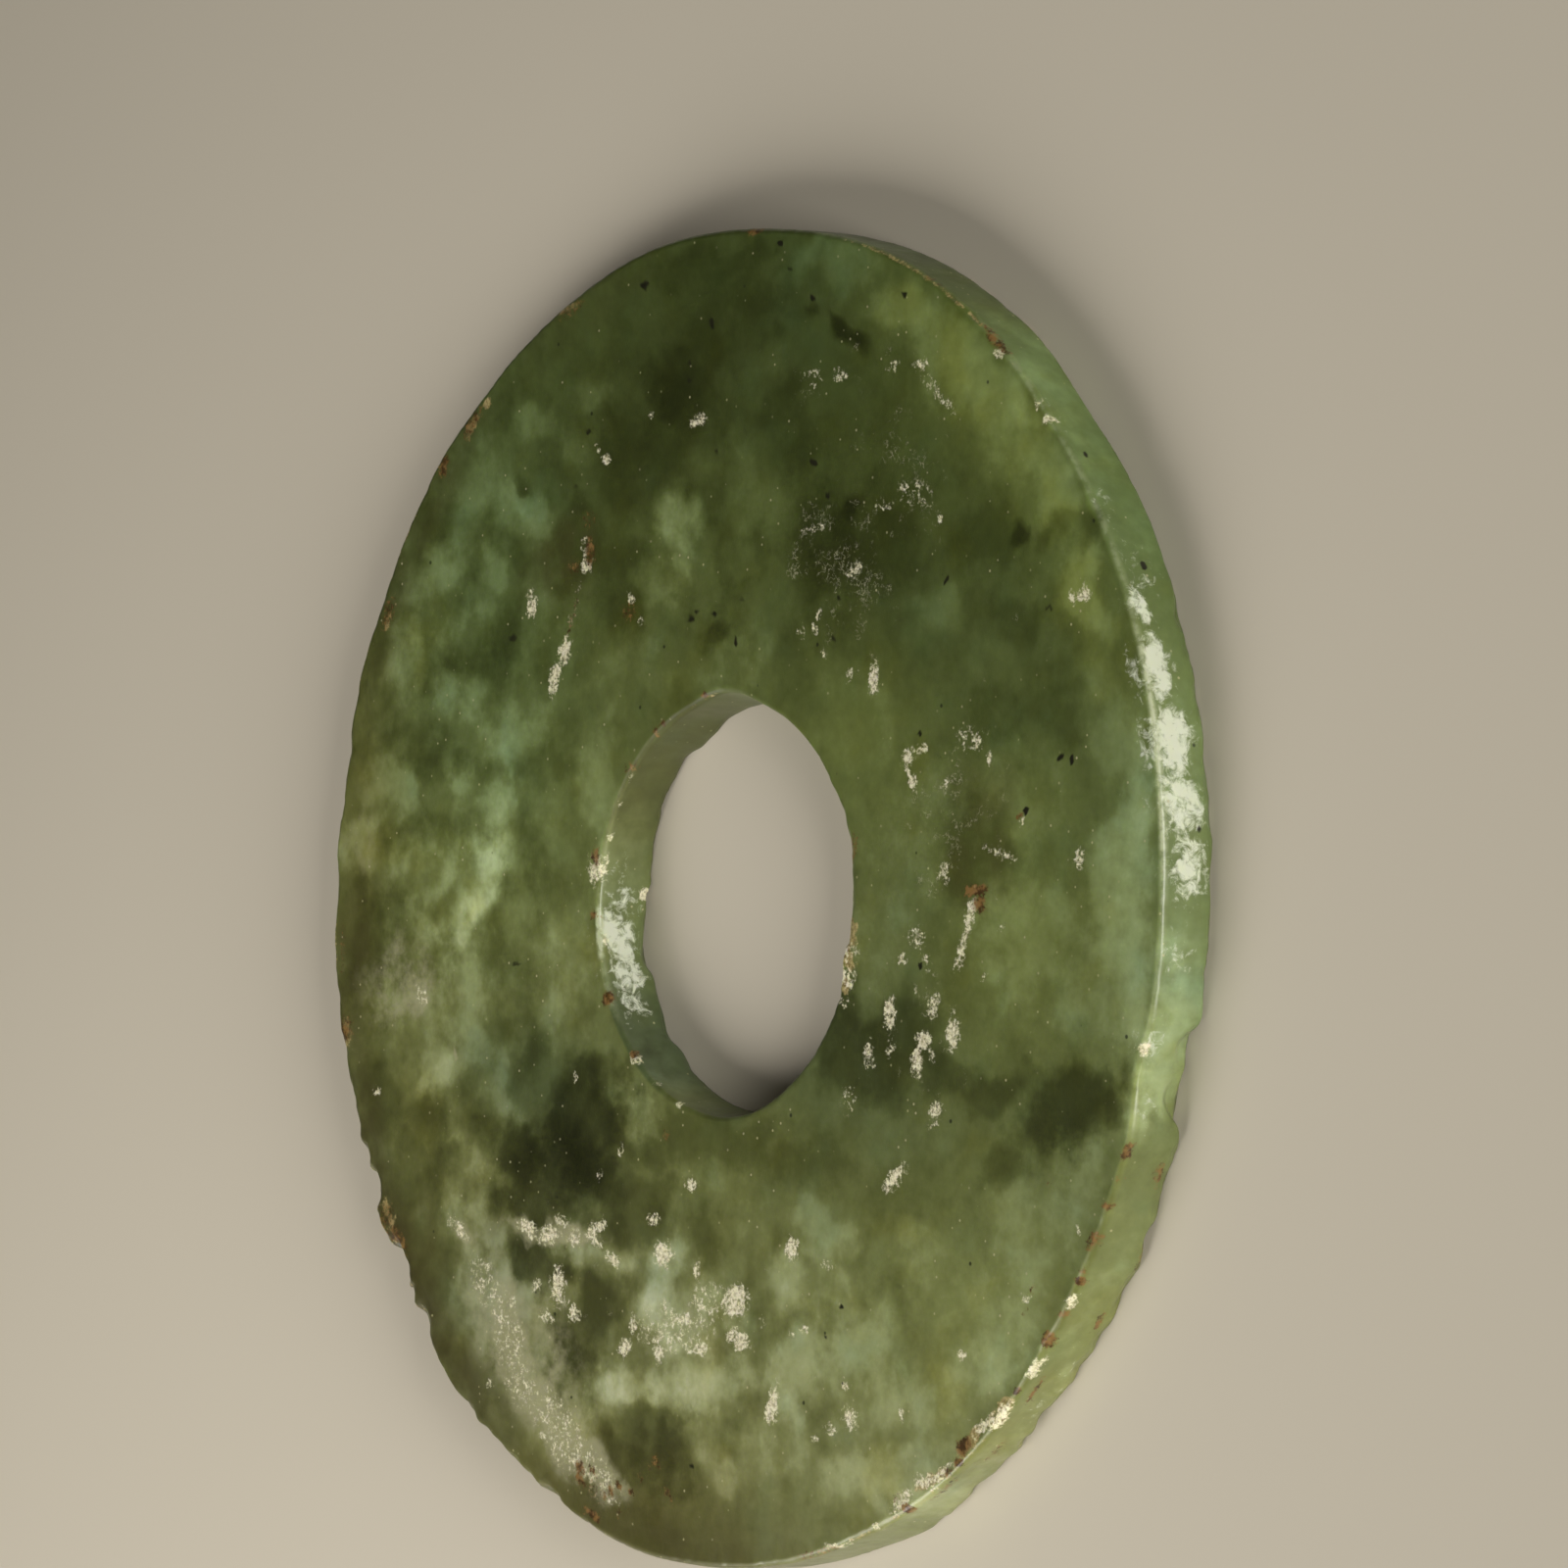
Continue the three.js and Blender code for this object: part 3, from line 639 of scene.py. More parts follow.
def smooth_round(values, spread):
    """Values around a ring, blurred by a bell curve that is spread samples wide."""
    reach = int(math.ceil(3 * spread))
    total = np.zeros_like(values)
    weights = 0.0
    for step in range(-reach, reach + 1):
        weight = math.exp(-0.5 * (step / spread) ** 2)
        total += weight * np.roll(values, step)
        weights += weight
    return total / weights


def resample(ring, count):
    """The points of a ring at another number of even angles."""
    place = np.arange(count) * len(ring) / count
    start = np.floor(place).astype(int)
    share = (place - start).reshape(-1, 1)
    return ring[start % len(ring)] * (1 - share) + ring[(start + 1) % len(ring)] * share


def solid_tree(node):
    solid = frame["nodes"][node].data
    points = [vertex.co / MM for vertex in solid.vertices]
    faces = [tuple(face.vertices) for face in solid.polygons]
    return BVHTree.FromPolygons(points, faces)


def wall_radius(tree, centre, count, outward):
    """The wall's radius at mid height; outward is 1 for the rim and -1 for the hole."""
    middle = Vector((*centre, MIDDLE))
    radii = []
    for angle in circle(count):
        direction = Vector((math.cos(angle), math.sin(angle), 0))
        start = middle + direction * PAST_RIM if outward > 0 else middle
        hit = tree.ray_cast(start, -outward * direction)[0]
        radii.append((hit - middle).length)
    return np.array(radii)


def fan(tree, centre, core_radius, inset, outward, offsets, smoothing):
    """Rings round an edge: for each (outward, upward) offset from the core line, the solid's points in that
    direction, the directions back to the core, and how near the ring is to an arris."""
    count = len(core_radius)
    angles = circle(count)
    radial = np.stack((np.cos(angles), np.sin(angles)), 1)
    core = np.column_stack((centre + radial * core_radius[:, None], np.full(count, MIDDLE)))
    rings = []
    for out, up in offsets:
        length = math.hypot(out, up)
        heading = np.column_stack((radial * outward * out / length, np.full(count, up / length)))
        reach = np.empty(count)
        for index in range(count):
            end = Vector(core[index])
            direction = Vector(heading[index])
            hit = tree.ray_cast(end + direction * CAST_START, -direction)[0]
            reach[index] = (hit - end).length
        points = core + heading * smooth_round(reach, smoothing)[:, None]
        corner = math.hypot(inset - out, HALF_THICKNESS - abs(up))
        rings.append((points, -heading, 1 - soft_step(*ARRIS_REACH, corner)))
    return rings


def edge_offsets(inset, top_steps, underside_steps):
    """Offsets from the core line to the nominal edge: along the top, down the wall and under."""
    top = [(inset * step, HALF_THICKNESS) for step in top_steps]
    wall = [(inset, HALF_THICKNESS * (1 - 2 * step)) for step in WALL_STEPS]
    under = [(inset * step, -HALF_THICKNESS) for step in underside_steps]
    return top + wall + under


def face_rings(inner, outer, height, row_step, coarse_radius):
    """Flat rings between two core lines, from the hole outwards, without the two lines themselves."""
    start = np.linalg.norm(inner[0, :2])
    width = np.linalg.norm(outer[0, :2] - inner[0, :2])
    rows = round(width / row_step)
    rings = []
    for row in range(1, rows):
        share = row / rows
        count = FACE_COUNT if start + width * share > coarse_radius else HOLE_COUNT
        flat = resample(inner[:, :2], count) * (1 - share) + resample(outer[:, :2], count) * share
        points = np.column_stack((flat, np.full(count, height)))
        pull = np.tile((0.0, 0.0, -1.0 if height > MIDDLE else 1.0), (count, 1))
        rings.append((points, pull, 0.0))
    return rings


def edge_rings(tree, centre, count, inset, outward, steps, smoothing):
    radius = wall_radius(tree, centre, count, outward)
    spacing = 2 * math.pi * radius.mean() / count
    core = smooth_round(radius, CORE_BLUR / spacing) - outward * inset
    return fan(tree, centre, core, inset, outward, edge_offsets(inset, *steps), smoothing / spacing)


def surface_rings():
    """All rings in one closed round of the section: top face outwards, rim down, underside inwards,
    hole up. Each has a region name, for what is done to it later."""
    tree = solid_tree(NODE)
    rim = edge_rings(tree, DISC_CENTRE, RIM_COUNT, RIM_CORE_INSET, 1,
                     (RIM_TOP_STEPS, RIM_UNDERSIDE_STEPS), RIM_SMOOTHING)
    hole = edge_rings(tree, HOLE_CENTRE, HOLE_COUNT, HOLE_CORE_INSET, -1,
                      (HOLE_TOP_STEPS, HOLE_UNDERSIDE_STEPS), HOLE_SMOOTHING)
    top = face_rings(hole[0][0], rim[0][0], TOP, TOP_ROW_STEP, TOP_COARSE_RADIUS)
    under = face_rings(hole[-1][0], rim[-1][0], UNDERSIDE, UNDERSIDE_ROW_STEP, UNDERSIDE_COARSE_RADIUS)
    return ([("face", *ring) for ring in top] + [("rim", *ring) for ring in rim]
            + [("face", *ring) for ring in under[::-1]] + [("hole", *ring) for ring in hole[::-1]])


def bridge(faces, first, first_count, second, second_count):
    """Faces between two rings, given as the index of each one's first point."""
    count = min(first_count, second_count)
    for index in range(count):
        following = (index + 1) % count
        double = 2 * index
        if first_count == second_count:
            faces.append((first + index, second + index, second + following, first + following))
        elif first_count < second_count:
            last = (double + 2) % second_count
            faces.append((first + index, second + double, second + double + 1, second + last,
                          first + following))
        else:
            last = (double + 2) % first_count
            faces.append((first + double + 1, first + double, second + index, second + following,
                          first + last))


# The surface's relief

def edge_facts(edge):
    """An edge's region and its wall's centre, 1 for the rim or -1 for the hole, 1 above or -1 below."""
    region, level = edge.split("_")
    centre = DISC_CENTRE if region == "rim" else HOLE_CENTRE
    return region, centre, 1 if region == "rim" else -1, 1 if level == "top" else -1


def bite(points, pull, centre, radius, where):
    """Moves the points inside a ball along their pull until they lie on the ball."""
    offset = points[where] - centre
    inside = (offset ** 2).sum(1) < radius ** 2
    index = where[inside]
    if not len(index):
        return
    offset = offset[inside]
    along = (offset * pull[index]).sum(1)
    move = np.sqrt(along ** 2 + radius ** 2 - (offset ** 2).sum(1)) - along
    points[index] += pull[index] * move[:, None]


def chip_edges(points, pull, regions):
    """Crisp little chips along the arrises, each a ball pushed into the edge."""
    draw = np.random.default_rng(CHIP_SEED)
    for edge, rows in CHIP_ROWS.items():
        region, centre, outward, upward = edge_facts(edge)
        level = TOP if upward > 0 else UNDERSIDE
        for start, end, count, reach in rows:
            upper = points[:, 2] > MIDDLE
            near_edge = np.flatnonzero((regions == region) & (upper == (upward > 0)))
            for _ in range(count):
                angle = math.radians(draw.uniform(start, end))
                size = reach * (1 + CHIP_SPREAD * draw.uniform(-1, 1))
                radius = size * draw.uniform(*CHIP_RADIUS)
                direction = np.array([math.cos(angle), math.sin(angle)])
                flat = points[near_edge, :2] - centre
                beside = np.abs(flat @ np.array([-direction[1], direction[0]])) < 2 * radius
                where = near_edge[beside & (flat @ direction > 0)]
                if not len(where):
                    continue
                distance = (points[where, :2] - centre) @ direction
                wall = distance.max() if outward > 0 else distance.min()
                lean = math.radians(draw.uniform(*CHIP_LEAN))
                away = radius - size * CHIP_BITE
                ball = centre + direction * (wall + outward * math.cos(lean) * away)
                bite(points, pull, np.array([*ball, level + upward * math.sin(lean) * away]), radius, where)


def swell_edges(points, regions):
    """Draws stretches of an edge in towards the stone, or lets them out, sideways."""
    high = (points[:, 2] - UNDERSIDE) / (TOP - UNDERSIDE)
    for edge, rows in EDGE_SWELLS.items():
        region, centre, outward, upward = edge_facts(edge)
        wall = TOP_RADIUS if outward > 0 else HOLE_RADIUS
        for middle, half, depth in rows:
            across = points[:, :2] - centre
            radius = np.linalg.norm(across, axis=1)
            away = apart(degrees_round(points, centre), middle)
            share = (high if upward > 0 else 1 - high) * (regions == region)
            share = share * (1 - soft_step(SWELL_FADE[0] * half, SWELL_FADE[1] * half, np.abs(away)))
            share = share * (1 - soft_step(*SWELL_REACH, np.abs(radius - wall)))
            points[:, :2] -= (outward * depth * share / radius)[:, None] * across


def relief(points, pull, regions, crust):
    """Sinks each point into the stone along its pull."""
    sunk = np.zeros(len(points))
    for size, depth, seed in HOLLOWS:
        sunk += depth * (0.5 + 0.5 * lattice_noise(points, size, seed))
    for size, depth, seed in EDGE_GRAIN:
        sunk += (regions != "face") * depth * soft_step(*GRAIN_CUT, lattice_noise(points, size, seed))
    size, depth, seed = CRUST_PITS
    sunk += depth * soft_step(*PITTED_CRUST, crust) * soft_step(*PIT_CUT, lattice_noise(points, size, seed))
    points += pull * sunk[:, None]


# Marks as values on the points

def marks_of(groups):
    """The marks of a list grouped by strength, with their width and tilt filled in."""
    for strength, places in groups.items():
        for x, y, long, *rest in places:
            wide = rest[0] if rest else long
            tilt = rest[1] if len(rest) > 1 else 0
            yield x, y, long, wide, tilt, strength


def warped(points, warps):
    """The points' places, measured from the disc's centre and shifted sideways by noise."""
    places = points[:, :2] - DISC_CENTRE
    for amount, size, seed in warps:
        shift = (lattice_noise(points, size, seed), lattice_noise(points, size, seed + 1))
        places = places + amount * np.stack(shift, 1)
    return places


def mark(places, x, y, long, wide, tilt, fall):
    """One ellipse's share at each place, from 1 inside it to 0 outside."""
    across = places - (x, y)
    near = np.flatnonzero((np.abs(across) < max(long, wide) * fall[1]).all(1))
    turn = math.radians(tilt)
    u = (across[near, 0] * math.cos(turn) + across[near, 1] * math.sin(turn)) / long
    v = (across[near, 1] * math.cos(turn) - across[near, 0] * math.sin(turn)) / wide
    share = np.zeros(len(places))
    share[near] = 1 - soft_step(*fall, np.hypot(u, v))
    return share


def marks(places, groups, fall):
    """The strongest of a list's marks at each place."""
    total = np.zeros(len(places))
    for *shape, strength in marks_of(groups):
        total = np.maximum(total, strength * mark(places, *shape, fall))
    return total


def patches(places, *lists):
    """How near each place is to a patch's middle, from 0 to 1, and the mean strength of patches there."""
    nearness = np.zeros(len(places))
    weights = np.full(len(places), 1e-6)
    strengths = np.zeros(len(places))
    for groups in lists:
        for *shape, strength in marks_of(groups):
            share = mark(places, *shape, PATCH_FALL)
            nearness = np.maximum(nearness, share)
            weights += share ** 2
            strengths += strength * share ** 2
    return nearness, strengths / weights


def tones(points, wall):
    """The broad changes of tone as red, green and blue factors: partly the stone's own, partly painted
    light.
    """
    flat = points[:, :2] - DISC_CENTRE
    paler = flat @ PALER_AND_LIT_TREND
    warmer = flat @ WARMER_TREND + WALL_WARMER * wall
    bluer = flat @ BLUER_TREND + WALL_BLUER * wall
    for *shape, light, warm, blue in TONE_AND_LIGHT_ZONES:
        share = mark(flat, *shape, ZONE_FALL)
        paler += light * share
        warmer += warm * share
        bluer += blue * share
    return np.exp(np.stack((paler + warmer, paler, paler + bluer), 1))


def stretches(angles, ranges):
    """The strongest of some stretches of an edge at each angle in degrees."""
    total = np.zeros(len(angles))
    for middle, half, strength in ranges:
        share = 1 - soft_step(*STRETCH_FALL, np.abs(apart(angles, middle)) / half)
        total = np.maximum(total, strength * share)
    return total


class Wall:
    """The marks on the wall of the rim or of the hole. Elsewhere they are 0."""

    def __init__(self, points, region, centre, radius):
        self.region = region
        self.radius = radius
        self.angles = degrees_round(points, centre)
        self.heights = points[:, 2] - MIDDLE
        self.toned = region * under_top(points, WALL_TONE_DEPTH)

    def marks(self, groups, fall):
        total = np.zeros(len(self.angles))
        for angle, height, *shape, strength in marks_of(groups):
            along = np.radians(apart(self.angles, angle)) * self.radius
            places = np.column_stack((along, self.heights))
            total = np.maximum(total, strength * mark(places, 0, height, *shape, fall))
        return self.region * total

    def stretches(self, ranges):
        return self.region * stretches(self.angles, ranges)

    def tones(self, rows):
        """The changes of tone round the wall, its top arris with it, as red, green and blue factors."""
        factors = np.ones((len(self.angles), 3))
        for middle, half, light, warm, blue in rows:
            share = self.toned * stretches(self.angles, ((middle, half, 1.0),))
            factors *= np.exp(share[:, None] * np.array((light + warm, light, light + blue)))
        return factors


def under_top(points, depth):
    """0 at the first depth under the top face and 1 at the second."""
    return soft_step(TOP - depth[0], TOP - depth[1], points[:, 2])


def build_values(points, regions, arris):
    """The values that steer the colours, by attribute name."""
    rim = Wall(points, regions == "rim", DISC_CENTRE, TOP_RADIUS)
    hole = Wall(points, regions == "hole", HOLE_CENTRE, HOLE_RADIUS)
    wide = warped(points, CLOUD_WARPS)
    fine = warped(points, SPOT_WARPS)
    skin = under_top(points, SKIN_DEPTH)
    wall = (regions != "face") * under_top(points, WALL_DEPTH)
    depth = CLOUDS_BELOW + (1 - CLOUDS_BELOW) * soft_step(UNDERSIDE, TOP, points[:, 2])
    pale_near, pale_strength = patches(wide, PALE_CLOUDS, YELLOW_CLOUDS, BLUISH_CLOUDS)
    dark_near, dark_strength = patches(wide, DARK_CLOUDS)
    top_arris = arris * (points[:, 2] > MIDDLE)
    from_centre = np.linalg.norm(warped(points, BAND_WARPS), axis=1)
    tan_arris = TAN_ARRIS_SHARE * arris * rim.stretches(TAN_ARRIS)
    tan_arris += top_arris * hole.stretches(TAN_HOLE_ARRIS)
    hole_crust = hole.marks(HOLE_CREAMS, WALL_CRUST_FALL)
    mottle = PLAIN_MOTTLE + marks(wide, MOTTLED_ZONES, MOTTLE_FALL)
    return {
        # The tone factors hold painted light as well as the stone's tones: a glow, a paler cast towards -Y,
        # and shade on parts of the face and the hole's wall.
        "tone": tones(points, wall) * hole.tones(HOLE_SHADE_AND_TONES) * rim.tones(RIM_TONES),
        "pale_near": pale_near,
        "pale_strength": depth * pale_strength,
        "dark_near": dark_near,
        "dark_strength": depth * dark_strength,
        "wall_pale": wall * rim.marks(WALL_CLOUDS, MOTTLE_FALL),
        "mottle": mottle * (1 - (1 - WALL_MOTTLE) * wall),
        "scored": skin * marks(wide, SCORED_ZONES, CLOUD_FALL),
        "warmth": marks(wide, YELLOW_CLOUDS, HUE_FALL) - marks(wide, BLUISH_CLOUDS, HUE_FALL),
        "cream": depth * marks(wide, CREAM_CLOUDS, CLOUD_FALL),
        "brown": depth * marks(wide, BROWN_CLOUDS, CLOUD_FALL),
        "crust": np.maximum(skin * marks(fine, CRUSTS, CRUST_FALL), hole_crust),
        "rust": np.maximum(skin * marks(fine, RUSTS, RUST_FALL), rim.marks(WALL_RUSTS, WALL_RUST_FALL)),
        "speck": np.maximum(skin * marks(fine, SPECKS, SPECK_FALL), rim.marks(WALL_SPECKS, WALL_SPECK_FALL)),
        # Frost on the rim's wall, and painted highlights on it and on the hole's wall.
        "frost_and_highlight": rim.marks(RIM_FROSTS_AND_HIGHLIGHTS, FROST_AND_HIGHLIGHT_FALL) + hole.marks(HOLE_HIGHLIGHTS, FROST_AND_HIGHLIGHT_FALL),
        "dull": top_arris * hole.stretches(DULL_HOLE_ARRIS),
        "edge_band": stretches(rim.angles, EDGE_BAND) * soft_step(*EDGE_BAND_REACH, from_centre),
        # Pale arrises: partly worn stone, partly painted highlight.
        "pale_edge_and_highlight": top_arris * (rim.stretches(WORN_AND_HIGHLIT_ARRIS) + hole.stretches(HIGHLIT_HOLE_ARRIS)),
        "tan_edge": np.maximum(tan_arris, skin * marks(fine, TAN_SCARS, SCAR_FALL)),
    }


def store(mesh, name, value):
    """Keeps a value or a colour of each point as an attribute of the mesh."""
    if value.ndim == 1:
        attribute = mesh.attributes.new(name, "FLOAT", "POINT")
        attribute.data.foreach_set("value", value.astype(np.float32))
    else:
        attribute = mesh.attributes.new(name, "FLOAT_COLOR", "POINT")
        colours = np.column_stack((value, np.ones(len(value))))
        attribute.data.foreach_set("color", colours.astype(np.float32).ravel())


def jade_surface():
    """The stone's surface as one closed mesh."""
    rings = surface_rings()
    counts = [len(ring[1]) for ring in rings]
    regions = np.repeat([ring[0] for ring in rings], counts)
    points = np.concatenate([ring[1] for ring in rings])
    pull = np.concatenate([ring[2] for ring in rings])
    arris = np.repeat([ring[3] for ring in rings], counts)
    values = build_values(points, regions, arris)
    swell_edges(points, regions)
    relief(points, pull, regions, values["crust"])
    chip_edges(points, pull, regions)
    points = np.clip(points, np.array(lowest) / MM, np.array(highest) / MM)
    faces = []
    starts = np.cumsum([0] + counts)
    for number, count in enumerate(counts):
        following = (number + 1) % len(counts)
        bridge(faces, starts[number], count, starts[following], counts[following])
    mesh = bpy.data.meshes.new("jade_surface")
    mesh.from_pydata((points * MM).tolist(), [], faces)
    mesh.validate()
    for name, value in values.items():
        store(mesh, name, value)
    mesh.shade_smooth()
    piece = bpy.data.objects.new("jade_surface", mesh)
    bpy.context.scene.collection.objects.link(piece)
    return piece


# Materials

class Shader:
    """A material's nodes, with short names for the kinds that are used here."""

    def __init__(self, name):
        self.material = bpy.data.materials.new(name)
        self.material.use_nodes = True
        self.tree = self.material.node_tree
        self.surface = self.tree.nodes["Principled BSDF"]

    def set(self, socket, value):
        if isinstance(value, bpy.types.NodeSocket):
            self.tree.links.new(value, socket)
        elif socket.type == "RGBA":
            socket.default_value = (*value, 1)
        else:
            socket.default_value = value

    def node(self, kind, output, inputs, **settings):
        node = self.tree.nodes.new(kind)
        for key, value in settings.items():
            setattr(node, key, value)
        for key, value in inputs.items():
            self.set(node.inputs[key], value)
        return node.outputs[output]

    def finish(self, inputs):
        """Sets the surface's own sockets and gives the material."""
        for key, value in inputs.items():
            self.set(self.surface.inputs[key], value)
        return self.material

    def place(self):
        """The object's own coordinates in millimetres."""
        start = self.node("ShaderNodeTexCoord", "Object", {})
        scale = (1 / MM, 1 / MM, 1 / MM)
        return self.node("ShaderNodeVectorMath", "Vector", {0: start, 1: scale}, operation="MULTIPLY")

    def shifted(self, place, offset):
        return self.node("ShaderNodeVectorMath", "Vector", {0: place, 1: offset}, operation="ADD")

    def value(self, name):
        return self.node("ShaderNodeAttribute", "Fac", {}, attribute_name=name)

    def noise(self, place, size, detail, roughness, distortion, offset):
        return self.node("ShaderNodeTexNoise", "Fac", {
            "Vector": self.shifted(place, offset), "Scale": 1 / size, "Detail": detail,
            "Roughness": roughness, "Distortion": distortion})

    def math(self, operation, first, second=0.0, third=0.0):
        return self.node("ShaderNodeMath", "Value", {0: first, 1: second, 2: third}, operation=operation)

    def centred(self, noise, amount):
        """A noise of 0 to 1 as a value about 0, over a range of that amount."""
        return self.math("MULTIPLY_ADD", noise, amount, -amount / 2)

    def span(self, value, low, high, start=0.0, end=1.0):
        """The value as a smooth step from the start at low to the end at high."""
        return self.node("ShaderNodeMapRange", "Result", {
            "Value": value, "From Min": low, "From Max": high, "To Min": start, "To Max": end},
            interpolation_type="SMOOTHSTEP")

    def mix(self, share, first, second, blend="MIX"):
        node = self.tree.nodes.new("ShaderNodeMix")
        node.data_type = "RGBA"
        node.blend_type = blend
        self.set(node.inputs["Factor"], share)
        self.set(node.inputs["A"], first)
        self.set(node.inputs["B"], second)
        return next(socket for socket in node.outputs if socket.type == "RGBA")

    def ramp(self, value, stops):
        node = self.tree.nodes.new("ShaderNodeValToRGB")
        self.set(node.inputs["Fac"], value)
        ramp = node.color_ramp
        while len(ramp.elements) < len(stops):
            ramp.elements.new(1.0)
        for element, (place, colour) in zip(ramp.elements, stops):
            element.position = place
            element.color = (*colour, 1)
        return node.outputs["Color"]


def jade_body(shader, noises):
    """The stone's colour: soft puffs of grey green in olive green, under the clouds' values, times the tone
    factors, which hold painted glow and shade too.
    """
    puffs = noises["puffs"]
    lobes = shader.centred(noises["lobes"], LOBES)
    pale = shader.span(shader.math("ADD", shader.value("pale_near"), lobes), *PALE_SPAN)
    pale = shader.math("MULTIPLY", pale, shader.value("pale_strength"))
    dark = shader.span(shader.math("SUBTRACT", shader.value("dark_near"), lobes), *DARK_SPAN)
    dark = shader.math("MULTIPLY", dark, shader.value("dark_strength"))
    tone = shader.span(puffs, *PUFF_SPAN, -PUFF_TONE, PUFF_TONE)
    tone = shader.math("MULTIPLY", tone, shader.value("mottle"))
    tone = shader.math("ADD", tone, shader.centred(noises["puff_grain"], GRAIN_TONE))
    tone = shader.math("MULTIPLY_ADD", pale, PALE_TONE, tone)
    tone = shader.math("MULTIPLY_ADD", dark, DARK_TONE, tone)
    tone = shader.math("MULTIPLY_ADD", shader.value("wall_pale"), WALL_PALE_TONE, tone)
    body = shader.ramp(shader.math("ADD", tone, PLAIN_TONE), STONE_TONES)
    hue = shader.math("MULTIPLY_ADD", shader.value("warmth"), HUE_OF_CLOUDS,
                      shader.centred(noises["hue"], HUE_OF_NOISE))
    hue = shader.math("SUBTRACT", hue, shader.centred(puffs, HUE_OF_PUFFS))
    warm = shader.span(hue, 0.0, FULL_HUE, 0.0, MOST_TINT)
    cool = shader.span(hue, -FULL_HUE, 0.0, MOST_TINT, 0.0)
    body = shader.mix(warm, body, WARM_TINT, "MULTIPLY")
    body = shader.mix(cool, body, COOL_TINT, "MULTIPLY")
    # The tone factors hold painted glow and shade as well as the stone's tones.
    tint = shader.node("ShaderNodeAttribute", "Color", {}, attribute_name="tone")
    return shader.mix(1.0, body, tint, "MULTIPLY")


def cover(shader, noises, name):
    """How far a kind of mark covers each place: its value, roughened by noises."""
    gain, shares, offset, cut, fade, most = COVERS[name]
    value = shader.value(name)
    rough = shader.math("MULTIPLY_ADD", value, gain, offset)
    for noise, share in shares.items():
        rough = shader.math("MULTIPLY_ADD", noises[noise], share, rough)
    return shader.math("MULTIPLY", shader.span(rough, *cut), shader.span(value, *fade, 0.0, most))


def scattered_dots(shader, place, spacing, radius, chosen, offset):
    """Tiny dots: 1 inside a dot's radius in the chosen share of the cells."""
    distance = shader.node("ShaderNodeTexVoronoi", "Distance", {
        "Vector": shader.shifted(place, offset), "Scale": 1 / spacing})
    pick = shader.node("ShaderNodeSeparateColor", "Red", {"Color": distance.node.outputs["Color"]})
    inside = shader.span(distance, radius * 0.5 / spacing, radius / spacing, 1.0, 0.0)
    return shader.math("MULTIPLY", inside, shader.math("LESS_THAN", pick, chosen))


def jade_colour(shader, place, noises, crust):
    """The stone's colour with everything that lies in it and on it, from the deepest to the uppermost,
    painted highlights on the walls and arrises among them.
    """
    spans = {name: shader.span(noises[noise], *row) for name, (noise, *row) in SPANS.items()}
    tan = shader.mix(spans["tan"], DARK_TAN, PALE_TAN)
    crusty = shader.mix(spans["crust"], DARK_CRUST, PALE_CRUST)
    rust = shader.mix(spans["rust"], DARK_RUST, PALE_RUST)
    lines = shader.math("ABSOLUTE", shader.centred(noises["scores"], 1.0))
    lines = shader.span(lines, *SCORE_WIDTH, 1.0, 0.0)
    pale_dots = scattered_dots(shader, place, *PALE_DOTS)
    dark_dots = scattered_dots(shader, place, *DARK_DOTS)
    layers = (
        (shader.math("MULTIPLY", shader.value("brown"), spans["brown"]), BROWN),
        (cover(shader, noises, "cream"), CREAM),
        (shader.math("MULTIPLY", shader.value("edge_band"), spans["edge_band"]), EDGE_BROWN),
        # Frost, and painted highlights on the walls.
        (cover(shader, noises, "frost_and_highlight"), FROST_AND_HIGHLIGHT),
        # Pale arrises: worn stone and painted highlights.
        (shader.math("MULTIPLY", shader.value("pale_edge_and_highlight"), spans["pale_edge_and_highlight"]), WORN_JADE_AND_HIGHLIGHT),
        (cover(shader, noises, "tan_edge"), tan),
        (crust, crusty),
        (shader.math("MULTIPLY", cover(shader, noises, "scored"), lines), SCRATCH),
        (cover(shader, noises, "rust"), rust),
        (shader.span(shader.value("speck"), *SPECK_SPAN), SPECK),
        (shader.math("MULTIPLY", pale_dots, spans["pale_dots"]), PALE_DOT),
        (shader.math("MULTIPLY", dark_dots, DARK_DOTS_SHARE), DARK_DOT),
    )
    colour = jade_body(shader, noises)
    for share, layer in layers:
        colour = shader.mix(share, colour, layer)
    return colour


def jade_material():
    shader = Shader("jade_stone")
    place = shader.place()
    noises = {name: shader.noise(place, *row) for name, row in NOISES.items()}
    crust = cover(shader, noises, "crust")
    roughness = shader.math("MULTIPLY_ADD", crust, CRUST_ROUGHNESS, STONE_ROUGHNESS)
    roughness = shader.math("MULTIPLY_ADD", noises["middle"], MOTTLED_ROUGHNESS, roughness)
    roughness = shader.math("MULTIPLY_ADD", shader.value("dull"), DULL_ROUGHNESS, roughness)
    height = shader.math("MULTIPLY_ADD", shader.value("crust"), CRUST_BUMP, noises["small"])
    height = shader.math("MULTIPLY_ADD", noises["grain"], GRAIN_BUMP, height)
    bump = shader.node("ShaderNodeBump", "Normal", {
        "Height": height, "Strength": BUMP_STRENGTH, "Distance": BUMP_HEIGHT * MM})
    return shader.finish({
        "Base Color": jade_colour(shader, place, noises, crust), "Roughness": roughness, "Normal": bump,
        "IOR": STONE_IOR, "Specular IOR Level": STONE_SPECULAR, "Subsurface Weight": SCATTER_SHARE,
        "Subsurface Radius": SCATTER_REACH, "Subsurface Scale": SCATTER_SCALE * MM})


# The stage

